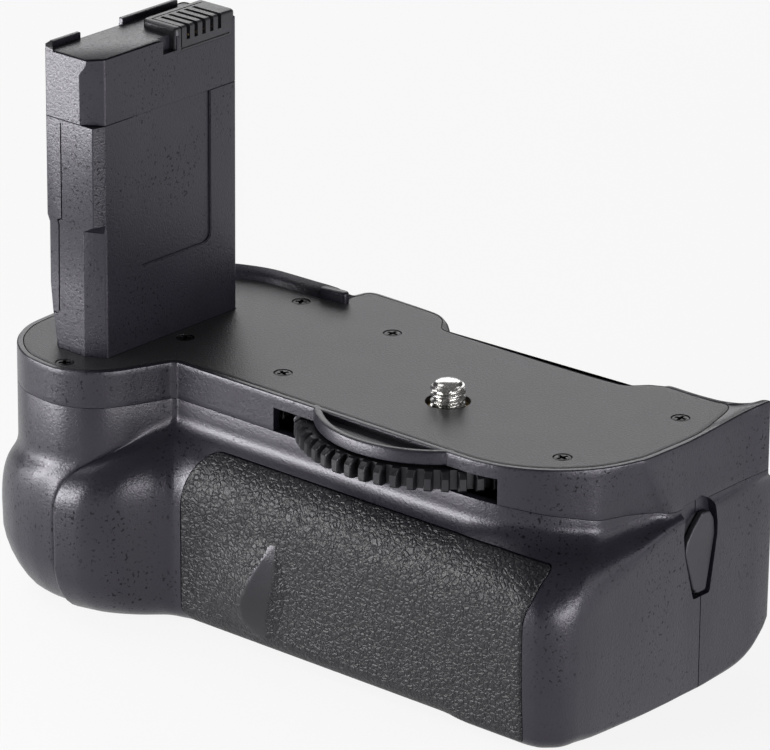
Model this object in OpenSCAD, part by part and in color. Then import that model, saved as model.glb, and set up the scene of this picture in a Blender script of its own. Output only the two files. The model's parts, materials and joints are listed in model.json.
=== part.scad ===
// Vertical battery grip for a compact single-lens reflex camera.
// Origin on the camera screw's axis, level with the seat that the camera stands on.
// +X points to the cable end, +Y to the rear, +Z up.

/* [Camera seat] */
// Camera screw to the straight front edge of the seat
seat_front = 18.3; // [17:0.1:19.5]
// Camera screw to the cable end of the seat
seat_right = 43.6; // [42:0.1:46]
// Camera screw to the hand end of the seat
seat_left = 82; // [80:0.5:86]
// Front of the plug to the front of the hand lobe
lobe_room = 7.4; // [6.2:0.1:9]
// Camera screw to the knee where the hand lobe begins
knee = 48.9; // [47:0.1:50]
// Plan radius of the front corner at the cable end
corner_r = 25; // [22:0.5:26]
// Thickness of the plate let into the seat
plate_t = 1.1; // [0.8:0.1:1.4]
// Width of the rim round the plate
rim_w = 1.2; // [0.8:0.1:2]
// Height of the locating lips along the rear of the seat
lip_h = 2; // [1:0.1:3]

/* [Body] */
// Seat to base
height = 47.5; // [47:0.5:56]
// Camera screw to the rear face
rear_y = 36.7; // [36:0.1:40]
// How far the body stands past the seat at the cable end
end_step = 1; // [0.6:0.1:3]
// How far the body stands past the seat at the hand end
left_step = 2.7; // [2:0.1:4]
// Wall of the mouldings
wall = 2.2; // [1.8:0.1:2.4]
// Camera screw to the parting line between front and rear shells
split_y = 16.5; // [15:0.5:18]
// Gap at the parting lines
seam_gap = 0.15; // [0.1:0.05:0.3]

/* [Grip rubber] */
// Thickness of the rubber
rubber_t = 1.1; // [0.8:0.1:1.3]
// How far the rubber stands proud of the shell
rubber_proud = 0.3; // [0:0.05:0.5]
// Left edge of the rubber
rubber_left = 43; // [40:0.5:44]
// Right edge of the rubber
rubber_right = 37.8; // [34:0.2:38.6]

/* [Camera screw] */
// Radius of the camera screw
stud_r = 3.175; // [3.1:0.005:3.25]
// Height of the screw above the seat
stud_proud = 4.8; // [4:0.1:5.5]
// Outer radius of the thumb wheel
wheel_r = 27.2; // [26:0.1:27.6]
// Thickness of the thumb wheel
wheel_t = 3.6; // [2.5:0.1:3.8]
// Teeth on the thumb wheel
wheel_teeth = 66; // [48:1:80]
// Running clearance of the screw in its bush
run_clear = 0.05; // [0.02:0.01:0.1]

/* [Plug] */
// Width of the battery-shaped plug, front to rear
plug_w = 36.2; // [34:0.1:37]
// Thickness of the plug
plug_t = 13; // [12:0.1:13.5]
// Height of the plug above the seat
plug_h = 57; // [52:0.2:60]
// Height of the plug's cap
cap_h = 13; // [12:0.2:15]
// Camera screw to the plug's broad face
plug_x = 58.8; // [58:0.1:60]
// Camera screw to the plug's rear face
plug_rear = 8.4; // [6:0.1:9]
// Contacts in the plug
contact_count = 6; // [4:1:6]
// Spacing of the contacts
contact_pitch = 2.1; // [1.8:0.05:2.2]

/* [Battery bays] */
// Battery length, front to rear
battery_l = 53; // [48:0.5:55]
// Battery width
battery_w = 38; // [34:0.5:38.5]
// Battery thickness
battery_t = 14; // [12:0.2:15]
// Clearance round a battery
battery_clear = 0.4; // [0.3:0.05:0.8]
// Wall of the battery cage
cage_t = 1.4; // [1:0.1:1.6]

/* [Battery door] */
// Thickness of the door
door_t = 2.2; // [1.8:0.1:2.4]
// Gap round the door
door_gap = 0.35; // [0.3:0.05:0.6]
// Radius of the hinge barrel
barrel_r = 2.2; // [2:0.05:2.4]
// Radius of the hinge pin
pin_r = 1; // [0.8:0.05:1.2]
// Travel of the latch
latch_travel = 2.6; // [2:0.1:2.8]

/* [Release and cable jack] */
// Radius of the release button
button_r = 4.9; // [4.5:0.1:5.2]
// Travel of the release button
button_travel = 1.2; // [0.8:0.1:1.4]
// Bore radius of the cable jack
jack_r = 1.25; // [1.2:0.05:1.8]
// Radius of the tripod socket's thread bore
tripod_r = 2.6; // [2.5:0.05:3]

/* [Hidden] */
$fn = 48;

black = [0.10, 0.10, 0.115];
satin = [0.16, 0.16, 0.18];
plate_grey = [0.20, 0.20, 0.215];
rubber_black = [0.09, 0.09, 0.10];
nickel = [0.75, 0.74, 0.72];
brass = [0.72, 0.58, 0.30];
eps = 0.01;

// Battery bays, stacked up from the base and in from the door
bay_x = -5;
divider = 1.5;
bay_w = battery_w + 2*battery_clear;
bay_h = battery_t + 2*battery_clear;
base_z = -height;
bay_z0 = base_z + 10.7;
bay_z1 = bay_z0 + bay_h;
bay_y1 = rear_y - door_t - 0.9;
bay_y0 = bay_y1 - battery_l - battery_clear/2;
cage_x0 = bay_x - divider/2 - bay_w - cage_t;
cage_x1 = bay_x + divider/2 + bay_w + cage_t;
cage_y0 = bay_y0 - cage_t;
cage_y1 = rear_y - door_t - 2.9;
cage_z0 = bay_z0 - cage_t;
cage_z1 = bay_z1 + cage_t;
cage_gap = 1.2;

// Outline lines in plan
pf = -seat_front;
pr = seat_right;
pl = -seat_left;
lf = plug_rear - plug_w - lobe_room;
kx = -knee;
bf = cage_y0 - cage_gap - wall;
br = pr + end_step;
bl = pl - left_step;

// Roof under the plate, and the wheel below it
roof_t = 1.4;
roof_z = -(plate_t + roof_t);
wheel_clear = 0.4;
wheel_z1 = roof_z - wheel_clear;
wheel_z0 = wheel_z1 - wheel_t;

// Heights of the seam, of the foot of the skirt and of the shoulder
seam_z = wheel_z0 - 0.5;
foot_z = seam_z - 2.6;
shoulder_z = -25;
rear_seam_z = seam_z - 4;
end_seam_z = seam_z - 5.5;

// One station of the housing: seat edge, body wall, [seam, foot, shoulder],
// [edge drop, edge width] of the seat's edge, [height, reach] of the rounding at the base
function station(seat, body, levels, edge = [0, rim_w], base = [3.5, 3.5]) =
    concat(seat, body, levels, edge, base);
front_levels = [seam_z, foot_z, shoulder_z];
rear_levels = [rear_seam_z, rear_seam_z - 0.3, -16];
rear_base = [8.5, 18];
rear_edge = [-3, 3.8];

front_stations = [
    station([kx, pf - 0.6], [kx + 3.3, bf - 3], [seam_z, foot_z - 0.9, shoulder_z]),
    station([kx + 1, pf], [kx + 6.1, bf - 0.6], front_levels),
    station([kx + 4.9, pf], [kx + 9.9, bf], front_levels),
    station([-20, pf], [-20, bf], front_levels),
    station([0, pf], [2, bf], front_levels),
    station([pr - corner_r - 4, pf], [br - 26, bf], front_levels)];

// Front corner at the cable end: [angle on the seat's corner, body wall's distance from the end
// and from the front, seam, foot, shoulder]
corner_rows = [[3, 19.6, 0, seam_z, foot_z, -25], [15, 12.6, 0, seam_z - 0.2, foot_z - 0.1, -25],
    [30, 6.4, 0, seam_z - 0.8, foot_z - 0.3, -25.2], [42, 3, 0.7, seam_z - 1.5, foot_z - 0.6, -25.6],
    [52, 0.7, 2.8, seam_z - 2.2, foot_z - 0.9, -25.8], [60, 0, 6.1, seam_z - 2.8, foot_z - 1.2, -24.8],
    [68, 0, 11.9, seam_z - 3.5, foot_z - 1.6, -22.8], [76, 0, 19.4, seam_z - 4.2, foot_z - 2, -20.2],
    [84, 0, 27.4, seam_z - 4.8, foot_z - 2.4, -17.3]];
corner_stations = [for (row = corner_rows)
    station([pr - corner_r + corner_r*sin(row[0]), pf + corner_r - corner_r*cos(row[0])],
        [br - row[1], bf + row[2]], [row[3], row[4], row[5]], base = [3, 3])];

end_stations = [
    station([pr, 9], [br, 10], [end_seam_z + 0.3, end_seam_z, -14.8], base = [3, 3]),
    station([pr + 0.1, 13], [br, 13.6], [end_seam_z + 0.2, end_seam_z - 0.3, -14.2], base = [3, 3]),
    station([pr + 0.3, 17], [br + 0.05, 17.2], [end_seam_z + 0.5, end_seam_z, -14.5], base = [4, 3.5]),
    station([pr + 1.1, 28], [br + 0.3, 28], [end_seam_z + 1.2, end_seam_z + 0.7, -15], base = [6.5, 4]),
    station([pr + 1.7, rear_y - 5.2], [br + 0.4, rear_y - 4.2],
        [end_seam_z + 1.6, end_seam_z + 1.1, -15], base = [7.5, 8]),
    station([pr + 0.7, rear_y - 2.7], [br - 1.2, rear_y - 0.9],
        [end_seam_z + 1.9, end_seam_z + 1.3, -15], base = [8, 13])];

// Rear: [distance along X, seat edge's distance from the rear face, edge drop and width]
rear_rows = [[41.5, 1.9, 0, rim_w], [30, 1.9, 0, rim_w], [24, 2.3, 0, rim_w], [20.5, 3.9, -1.5, 2.5],
    [16, 5.9, rear_edge[0], rear_edge[1]], [0, 6.2, rear_edge[0], rear_edge[1]],
    [-20, 6.2, rear_edge[0], rear_edge[1]], [-23.4, 5.5, -2, 3], [-26, 3.7, -0.4, 1.6],
    [-44.5, 3.7, -0.3, 1.6], [-47.2, 5.5, 0, rim_w]];
rear_stations = [for (row = rear_rows)
    station([row[0], rear_y - row[1]], [min(row[0], br - 4.8), rear_y], rear_levels,
        [row[2], row[3]], rear_base)];

hand_stations = [
    station([kx + 0.3, rear_y - 9.1], [kx - 1.1, rear_y], [rear_seam_z + 2, rear_seam_z + 1, -17], base = rear_base),
    station([kx - 3.1, rear_y - 10.1], [kx - 6.1, rear_y - 0.3], [rear_seam_z + 2.2, rear_seam_z, -18], base = rear_base),
    station([pl + 20, rear_y - 11.5], [bl + 19.7, rear_y - 2.1], [seam_z - 1.3, -12.5, -20], base = [8.5, 16]),
    station([pl + 11.5, rear_y - 14.1], [bl + 11.7, rear_y - 5.9], [seam_z - 0.8, -14, -23], base = [9, 14]),
    station([pl + 5.5, rear_y - 18.7], [bl + 5.2, rear_y - 12.3], [seam_z - 0.4, -15.5, -26], base = [10.5, 12]),
    station([pl + 1.4, 11], [bl + 1.1, 14.5], [seam_z, -17, -29], base = [12, 12]),
    station([pl, 3], [bl + 0.1, 4], [seam_z, -18, -31], base = [13, 13]),
    station([pl - 0.2, -12], [bl - 0.2, -13], [seam_z, -18, -31], base = [13, 13])];

// Round front of the hand lobe: [angle, body wall's distances from the hand end and lobe front]
lobe_r = 17.5;
lobe_rows = [[10, 0.5, 13.2], [30, 2.8, 6.3], [50, 7.3, 1.6], [72, 13.3, -1.1]];
lobe_stations = [for (row = lobe_rows)
    station([pl + lobe_r - lobe_r*cos(row[0]), lf + lobe_r - lobe_r*sin(row[0])],
        [bl + row[1], lf + row[2]], [seam_z, -18.5, -31], base = [12, 12])];

// The crease between the hand end and the knob beside the rubber, then the knob itself
knob_stations = [
    station([kx - 14.6, lf], [kx - 17.9, lf - 1.8], [seam_z, -18.5, -30], base = [9, 9]),
    station([kx - 9.5, lf + 1.6], [kx - 14.9, lf - 1.8], [seam_z, -17.3, -29], base = [7, 7]),
    station([kx - 5.9, lf + 4.4], [kx - 13.9, lf - 1.6], [seam_z, -15.8, -28], base = [6, 6]),
    station([kx - 3.9, lf + 7.4], [kx - 13, lf - 2.8], [seam_z, -14.4, -27], base = [5, 5]),
    station([kx - 2.5, lf + 10.6], [kx - 7.6, lf - 1.8], [seam_z, -13, -26], base = [4.5, 4.5]),
    station([kx - 1.2, lf + 13.6], [kx - 1.3, lf + 1.8], [seam_z, -11.6, -25.3], base = [4, 4])];

stations = concat(front_stations, corner_stations, end_stations, rear_stations, hand_stations,
    lobe_stations, knob_stations);

// Smooth closed run through the stations that never overshoots them
function harmonic(a, b) = a*b > 0 ? 2*a*b/(a + b) : 0;
function hermite(a, b, c, d, u) =
    let(m0 = harmonic(b - a, c - b), m1 = harmonic(c - b, d - c))
    (2*u^3 - 3*u^2 + 1)*b + (u^3 - 2*u^2 + u)*m0 + (3*u^2 - 2*u^3)*c + (u^3 - u^2)*m1;
function loop(list, i) = list[(i + len(list)) % len(list)];
function perimeter(steps, start = 0) = [for (i = [0:len(stations) - 1], q = [0:steps - 1])
    [for (j = [0:len(stations[0]) - 1])
        hermite(loop(stations, i - 1)[j], stations[i][j], loop(stations, i + 1)[j],
            loop(stations, i + 2)[j], (q + start)/steps)]];

function seat_point(s) = [s[0], s[1]];
function body_point(s) = [s[2], s[3]];
function unit(v) = v/norm(v);
function clamp(v, low, high) = min(max(v, low), high);
function inward(p, low, high) =
    unit([clamp(p[0], low[0], high[0]) - p[0], clamp(p[1], low[1], high[1]) - p[1]]);
function outward(ring, i) =
    let(t = loop(ring, i + 1) - loop(ring, i - 1)) unit([t[1], -t[0]]);
function grown(ring, d) = [for (i = [0:len(ring) - 1]) ring[i] + d*outward(ring, i)];
function lift(ring, z) = [for (p = ring) [p[0], p[1], z]];

// The S-shaped slope from the foot of the skirt to the shoulder
foot_pull = 0.35;
shoulder_pull = 0.8;
function slope_out(u) = 3*u^2 - 2*u^3;
function slope_down(u) = 3*(1 - u)^2*u*foot_pull + 3*(1 - u)*u^2*(1 - shoulder_pull) + u^3;

// Solids from rings stacked from the top down: capped at both ends, or closed on themselves
function band(count, upper, lower) = [for (i = [0:count - 1])
    let(j = (i + 1) % count)
    each [[upper*count + i, upper*count + j, lower*count + j],
        [upper*count + i, lower*count + j, lower*count + i]]];
module ring_stack(rings, closed = false) {
    count = len(rings[0]);
    last = len(rings) - 1;
    sides = [for (k = [0:last - 1]) each band(count, k, k + 1)];
    caps = closed ? band(count, last, 0)
        : [[for (i = [count - 1:-1:0]) i], [for (i = [0:count - 1]) last*count + i]];
    polyhedron(points = [for (ring = rings) each ring], faces = concat(sides, caps), convexity = 8);
}

// Limits that the body wall and the base are drawn in towards
wall_low = [-66, bf + 5.4];
wall_high = [40, 30];
base_low = wall_low;
base_high = [40, 11];
slope_steps = [0, 0.2, 0.35, 0.5, 0.65, 0.82, 1];
base_angles = [0, 30, 60, 90];

// Outside of the housing from the seat to the base, with its body wall moved in by inset
module housing(inset = 0, steps = 2) {
    run = perimeter(steps);
    seat = grown([for (s = run) seat_point(s)], -inset);
    body = [for (s = run) body_point(s) + inset*inward(body_point(s), wall_low, wall_high)];
    slopes = [for (u = slope_steps) [for (i = [0:len(run) - 1])
        let(p = seat[i] + (body[i] - seat[i])*slope_out(u), s = run[i])
        [p[0], p[1], s[5] + (s[6] - s[5])*slope_down(u)]]];
    bases = [for (a = base_angles) [for (i = [0:len(run) - 1])
        let(s = run[i], p = body[i] + s[10]*(1 - cos(a))*inward(body[i], base_low, base_high))
        [p[0], p[1], base_z + max(inset, 0) + s[9]*(1 - sin(a))]]];
    ring_stack(concat([lift(seat, 0)], slopes, bases));
}

// Space inside the walls, open through the seat
module cavity() {
    run = perimeter(1);
    seat = grown([for (s = run) seat_point(s)], -wall);
    body = [for (s = run) body_point(s) + wall*inward(body_point(s), wall_low, wall_high)];
    slopes = [for (u = [0, 0.35, 0.65, 1]) [for (i = [0:len(run) - 1])
        let(p = seat[i] + (body[i] - seat[i])*slope_out(u), s = run[i])
        [p[0], p[1], s[5] + (s[6] - s[5])*slope_down(u)]]];
    bases = [for (a = [0, 45, 90]) [for (i = [0:len(run) - 1])
        let(s = run[i], p = body[i] + s[10]*(1 - cos(a))*inward(body[i], base_low, base_high))
        [p[0], p[1], base_z + wall + s[9]*(1 - sin(a))]]];
    ring_stack(concat([lift(seat, 1)], slopes, bases));
}

// Band along the seam, from it to a level above or below
seam_reach = 0.6;
module seam_band(level, gap) {
    run = perimeter(2, 0.45);
    seat = [for (s = run) seat_point(s)];
    outer = grown(seat, 1);
    inner = grown(seat, -wall - seam_reach);
    function at_seam(ring) = [for (i = [0:len(ring) - 1]) [ring[i][0], ring[i][1], run[i][4] + gap]];
    ring_stack(level > seam_z
        ? [lift(outer, level), at_seam(outer), at_seam(inner), lift(inner, level)]
        : [at_seam(outer), lift(outer, level), lift(inner, level), at_seam(inner)], closed = true);
}

module seat_outline(inset = 0) {
    offset(delta = -inset) polygon([for (s = perimeter(2)) seat_point(s)]);
}

// Seat plate's outline: inside the rim, the bevel at the rear and the lips
lip_w = 4.5;
lip_inset = 0.06;
rim_land = 0.05;
end_lip_x = pr - 5.2;
end_lip_y0 = 15;
module plate_outline(gap = 0) {
    run = perimeter(2);
    seat = [for (s = run) seat_point(s)];
    offset(delta = -gap) difference() {
        polygon([for (i = [0:len(run) - 1]) seat[i] - (run[i][8] + rim_land)*outward(seat, i)]);
        for (i = [0:len(lip_run) - 2]) offset(delta = 0.12) lip_foot(lip_run[i], lip_run[i + 1]);
        polygon([[end_lip_x, rear_y], [pr + 4, rear_y], [pr + 4, end_lip_y0], [pr - 1, end_lip_y0]]);
    }
}

// Rear lip at the hand end: rises from the plate to a thin outer edge
lip_run = [for (i = [1:5]) [hand_stations[i][0], hand_stations[i][1], i]];
lip_heights = [lip_h, lip_h, lip_h, 0.75*lip_h, 0.3*lip_h];
function lip_in(p) = unit([-48, -6] - [p[0], p[1]]);
module lip_foot(a, b) {
    polygon([[a[0], a[1]] - 2*lip_in(a), [b[0], b[1]] - 2*lip_in(b),
        [b[0], b[1]] + lip_w*lip_in(b), [a[0], a[1]] + lip_w*lip_in(a)]);
}
module lip_slice(p, height) {
    turn = atan2(lip_in(p)[1], lip_in(p)[0]);
    translate([p[0], p[1], roof_z]) rotate([90, 0, turn]) linear_extrude(eps)
        polygon([[lip_inset, 0.3], [lip_w + 0.3, 0.3], [lip_w + 0.3, -roof_z - 0.1],
            [lip_w/2, -roof_z + height*0.3], [0.9, -roof_z + height*0.9], [0.35, -roof_z + height],
            [lip_inset, -roof_z + height - 0.3]]);
}
module hand_lip() {
    for (i = [0:len(lip_run) - 2]) {
        hull() {
            lip_slice(lip_run[i], lip_heights[i]);
            lip_slice(lip_run[i + 1], lip_heights[i + 1]);
        }
    }
}

// Lip at the cable end: a ramp along X that grows towards the rear
module end_slice(y, height, x1) {
    translate([0, y, roof_z]) rotate([90, 0, 0]) linear_extrude(eps)
        polygon([[end_lip_x, 0.3], [x1, 0.3], [x1, -roof_z + height - 0.3], [x1 - 0.4, -roof_z + height],
            [x1 - 2.5, -roof_z + height*0.55], [x1 - 5, -roof_z + height*0.2], [end_lip_x, -roof_z - 0.1]]);
}
module end_lip() {
    hull() {
        end_slice(end_lip_y0, -0.5, pr - 0.15);
        end_slice(24, 0.55*lip_h, pr + 0.7);
    }
    hull() {
        end_slice(24, 0.55*lip_h, pr + 0.7);
        end_slice(rear_y - 5.2, 1.2*lip_h, pr + 1.6);
    }
    hull() {
        end_slice(rear_y - 5.2, 1.2*lip_h, pr + 1.6);
        end_slice(rear_y - 2.5, 1.1*lip_h, pr + 0.5);
    }
}

// Hood over the wheel: a thin arc wall round a sunken floor
hood_r = 21.7;
hood_bulge = 6.5;
hood_wall = 1.5;
hood_floor = 1.2;
hood_y = pf - hood_bulge + hood_r;
slot_x0 = -25;
slot_x1 = 26;
module hood_segment(r) {
    intersection() {
        translate([0, hood_y]) circle(r);
        translate([-hood_r, pf - hood_bulge - 1]) square([2*hood_r, hood_bulge + 1.5]);
    }
}
module hood() {
    difference() {
        translate([0, 0, roof_z]) linear_extrude(-roof_z) hood_segment(hood_r);
        translate([0, 0, roof_z + hood_floor]) linear_extrude(3) hood_segment(hood_r - hood_wall);
    }
}

// Screws through the plate, and the cover's bosses that take them
screw_r = 0.9;
screw_head_r = 1.6;
screw_head_t = 0.7;
pilot_r = 1;
boss_r = 2.4;
boss_z = -9.4;
plate_screw_xy = [[-52.4, 19.6], [-29.3, 18.7], [-30.8, -9.3], [-55.6, -8.3], [35.4, 21.4],
    [31.7, -6.6], [-63.2, lf + 3.4]];
retainer_xy = [plate_screw_xy[2], plate_screw_xy[5]];
retainer_t = 1;
retainer_z1 = wheel_z0 - 0.9;
retainer_z0 = retainer_z1 - retainer_t;
function boss_end(i) = i == 2 || i == 5 ? retainer_z1 : i == 6 ? seam_z + 0.4 : boss_z;
module cover_bosses() {
    for (i = [0:len(plate_screw_xy) - 1]) {
        translate([plate_screw_xy[i][0], plate_screw_xy[i][1], boss_end(i)])
            cylinder(r = boss_r, h = roof_z + 0.3 - boss_end(i), $fn = 20);
        translate([plate_screw_xy[i][0], plate_screw_xy[i][1], 0]) hull() {
            translate([0, 0, roof_z - 0.4]) cylinder(r = boss_r + 0.8, h = 0.7, $fn = 20);
            translate([0, 0, roof_z - 2.4]) cylinder(r = boss_r, h = 0.4, $fn = 20);
        }
    }
}

// Camera screw's bush in the roof
bush_r = 5.3;
bush_flange_r = 6.6;
bush_flange_t = 0.25;
press_gap = 0.05;

// Battery-shaped plug
plug_x0 = -plug_x - plug_t;
plug_y0 = plug_rear - plug_w;
plug_chamfer = [3.9, 2.5];
plug_lead = [1.4, 1.6];
plug_edge = 0.8;
plug_wall = 1.5;
plug_gap = 0.3;
case_h = plug_h - cap_h;
module plug_outline(inset = 0) {
    x0 = plug_x0 + inset;
    x1 = -plug_x - inset;
    y0 = plug_y0 + inset;
    y1 = plug_rear - inset;
    polygon([[x0 + plug_lead[0], y0], [x1 - plug_chamfer[0], y0], [x1, y0 + plug_chamfer[1]],
        [x1, y1 - plug_edge], [x1 - plug_edge, y1], [x0 + plug_edge, y1], [x0, y1 - plug_edge],
        [x0, y0 + plug_lead[1]]]);
}
wire_hole = [plug_x0 + 3, plug_y0 + 8];
wire_hole_size = [plug_t - 6, plug_w - 14];

module top_cover() {
    run = perimeter(2);
    seat = [for (s = run) seat_point(s)];
    crown = [[for (i = [0:len(run) - 1])
            let(p = seat[i] - run[i][8]*outward(seat, i)) [p[0], p[1], 0]],
        [for (i = [0:len(run) - 1])
            let(p = seat[i] - 0.35*outward(seat, i)) [p[0], p[1], run[i][7]]],
        [for (i = [0:len(run) - 1]) [seat[i][0], seat[i][1], run[i][7] - 0.4]],
        lift(seat, -20)];
    color(black) difference() {
        union() {
            difference() {
                ring_stack(crown);
                translate([0, 0, -25]) linear_extrude(25 + roof_z) seat_outline(wall);
                seam_band(-30, seam_gap/2);
            }
            hand_lip();
            end_lip();
            hood();
            cover_bosses();
        }
        translate([0, 0, -plate_t]) linear_extrude(plate_t + 1) plate_outline();
        translate([slot_x0, pf - 2, seam_z - 3])
            cube([slot_x1 - slot_x0, wall + 3, roof_z - seam_z + 3]);
        translate([0, 0, -5]) cylinder(r = bush_r + press_gap, h = 6);
        for (p = plate_screw_xy) translate([p[0], p[1], -12]) cylinder(r = pilot_r, h = 13, $fn = 16);
        translate([wire_hole[0], wire_hole[1], -5]) cube([wire_hole_size[0], wire_hole_size[1], 6]);
        port_recess();
    }
}

module top_plate() {
    color(plate_grey) difference() {
        translate([0, 0, -plate_t]) linear_extrude(plate_t) difference() {
            plate_outline(seam_gap);
            offset(delta = plug_gap) plug_outline();
            circle(stud_r + 0.9);
            for (p = plate_screw_xy) translate(p) circle(pilot_r, $fn = 20);
        }
        for (p = plate_screw_xy) translate([p[0], p[1], -screw_head_t - 0.1])
            cylinder(r = screw_head_r + 0.1, h = 2, $fn = 20);
    }
}

module plate_screws() {
    color(satin) for (i = [0:len(plate_screw_xy) - 1])
        translate([plate_screw_xy[i][0], plate_screw_xy[i][1], -0.05]) {
            translate([0, 0, -screw_head_t]) cylinder(r = screw_head_r, h = screw_head_t);
            translate([0, 0, -4.2]) cylinder(r = screw_r, h = 4);
        }
}

// Walls of the lower housing, before it is parted into front and rear
module lower_walls() {
    difference() {
        housing();
        cavity();
        seam_band(10, -seam_gap/2);
    }
}
module before_split() {
    translate([-200, -100, -100]) cube([400, 100 + split_y - seam_gap/2, 200]);
}
module behind_split() {
    translate([-200, split_y + seam_gap/2, -100]) cube([400, 100, 200]);
}

// Front view of the rubber panel
rubber_top = foot_z - 4;
rubber_base = base_z + 1.1;
rubber_corner = 9;
module rubber_zone(grow = 0) {
    translate([0, pf + 2, 0]) rotate([90, 0, 0]) linear_extrude(60) offset(delta = grow) hull() {
        translate([-rubber_left + rubber_corner, rubber_top - rubber_corner]) circle(rubber_corner, $fn = 32);
        translate([rubber_right - 2, rubber_top - 2]) circle(2, $fn = 24);
        translate([-rubber_left + 1, rubber_base + 1]) circle(1, $fn = 16);
        translate([rubber_right - 2, rubber_base + 1]) circle(1, $fn = 16);
    }
}
// Finger rest on the rubber: a long slope up to a ridge, then a short one down.
// Rows from the top: [height, ridge, foot of the short slope, rise]
rest_run = 14;
rest_rows = [[-25.8, -20.1, -19.6, 0.1], [-28.4, -21.8, -18.6, 0.7], [-31, -23.4, -17.6, 1.2],
    [-33.5, -24.7, -17.9, 1.5], [-36, -25.9, -18.4, 1.6], [-38.5, -26.6, -18.9, 1.5],
    [-41, -26.6, -19.5, 1], [-43, -24.5, -20, 0.2]];
module rest_slice(row) {
    face = bf - rubber_proud;
    translate([0, 0, row[0]]) linear_extrude(0.05)
        polygon([[row[1] - rest_run, face + 0.4], [row[1] - rest_run, face + 0.05],
            [row[1], face - row[3]], [row[2], face + 0.05], [row[2], face + 0.4]]);
}
module finger_rest() {
    for (i = [0:len(rest_rows) - 2]) {
        hull() {
            rest_slice(rest_rows[i]);
            rest_slice(rest_rows[i + 1]);
        }
    }
}
module grip_rubber() {
    color(rubber_black) intersection() {
        union() {
            difference() {
                housing(-rubber_proud);
                housing(rubber_t - rubber_proud);
            }
            finger_rest();
        }
        rubber_zone();
    }
}
module rubber_pocket() {
    intersection() {
        difference() {
            housing(-2);
            housing(rubber_t - rubber_proud + seam_gap/2);
        }
        rubber_zone(seam_gap);
    }
}

// Cable jack between the shells, in a pad behind the end wall
jack_z = end_seam_z - 4.9;
jack_body_r = 3.4;
jack_nose_r = 2.9;
jack_nose = 0.75;
jack_x0 = cage_x1 + 0.8;
port_floor = br - 1.6;
port_head_r = 4.7;
port_head = [-0.4, 1.6];
port_tail_r = 2.3;
port_drop = 10.6;
module port_recess() {
    translate([port_floor, split_y, jack_z]) rotate([90, 0, 90]) linear_extrude(6) hull() {
        translate(port_head) circle(port_head_r, $fn = 32);
        translate([0.1, -port_drop]) circle(port_tail_r, $fn = 24);
    }
}
module jack_pad() {
    intersection() {
        housing();
        translate([br - 5, split_y - 6.5, jack_z - port_drop - 3.5])
            cube([8, 13, port_drop + port_head_r + 3.5]);
    }
}
module jack_opening() {
    port_recess();
    translate([0, split_y, jack_z]) rotate([0, 90, 0]) {
        cylinder(r = jack_nose_r + press_gap, h = 60);
        cylinder(r = jack_body_r + press_gap, h = port_floor - jack_nose);
    }
}

// Screws from below into the battery cage's feet
foot_xy = [[cage_x0 + 5, cage_y0 + 6.8], [cage_x1 - 5, cage_y0 + 6.8], [cage_x0 + 5, split_y - 8],
    [cage_x1 - 5, split_y - 8]];
foot_r = 3;
floor_z = base_z + wall;
pad_h = 1.2;
base_head_r = 2.2;
base_head_t = 1.2;

// Release on the hand end
release_y = -8;
release_z = -31;
release_x = bl - 0.3;
collar_r = 8;
module on_hand_end() {
    translate([release_x, release_y, release_z]) rotate([0, -90, 0]) children();
}

bush_hex_r = 6;
module front_shell() {
    color(black) difference() {
        union() {
            intersection() {
                union() {
                    lower_walls();
                    jack_pad();
                }
                before_split();
            }
            for (p = foot_xy) translate([p[0], p[1], floor_z - 0.5]) hull() {
                cylinder(r = foot_r + 1.2, h = 0.7, $fn = 24);
                cylinder(r = foot_r, h = pad_h + 0.5, $fn = 24);
            }
            for (x = [-30, -12, 12, 30]) hull() {
                translate([x, bf + wall - 0.5, floor_z - 0.5]) cube([1.2, 1.3, 1]);
                translate([x, bf + wall - 0.5, shoulder_z - 3]) cube([1.2, 0.8, 0.5]);
            }
        }
        rubber_pocket();
        jack_opening();
        for (p = foot_xy) translate([p[0], p[1], base_z - 1]) {
            cylinder(r = base_head_r + 0.15, h = 1 + base_head_t, $fn = 24);
            cylinder(r = pilot_r + 0.1, h = 8, $fn = 20);
        }
        translate([0, 0, base_z - 1]) cylinder(r = bush_hex_r + 0.1, h = 6, $fn = 48);
        on_hand_end() translate([0, 0, -10]) cylinder(r = collar_r + 0.1, h = 20, $fn = 48);
    }
}

// Door in the rear wall, hinged on an upright pin
door_x0 = cage_x0 - 1.45;
door_x1 = cage_x1 + 3;
door_z0 = bay_z0 - 1.8;
door_z1 = bay_z1 + 4.6;
hinge_x = door_x0 - 3.05;
hinge_y = rear_y - barrel_r;
barrel_z0 = door_z0 + 4.6;
barrel_z1 = door_z1 - 4.8;
lug_gap = 0.3;
lug_top = [barrel_z1 + lug_gap, door_z1 - 0.35];
lug_base = [door_z0 + 0.3, barrel_z0 - lug_gap];

module hinge_lug(span) {
    difference() {
        hull() {
            translate([hinge_x, hinge_y, span[0]]) cylinder(r = barrel_r, h = span[1] - span[0], $fn = 32);
            translate([hinge_x - barrel_r - 2.2, rear_y - wall + 0.1, span[0]])
                cube([1.2, wall - 0.6, span[1] - span[0]]);
        }
        translate([hinge_x, hinge_y, span[0] - 1]) cylinder(r = pin_r + press_gap, h = 20, $fn = 32);
    }
}

// Tabs that locate the rear shell on the floor of the front shell
tab_x = [-62, -22, 16, 34.3];
module locating_tab(x) {
    translate([x, split_y + 0.3, floor_z - 0.6]) cube([5, 1.5, 2]);
    hull() {
        translate([x, split_y, floor_z + 0.4]) cube([5, 1.8, 1]);
        translate([x + 0.5, split_y - 4, floor_z + 0.4]) cube([4, 0.5, 0.5]);
    }
}

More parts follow.
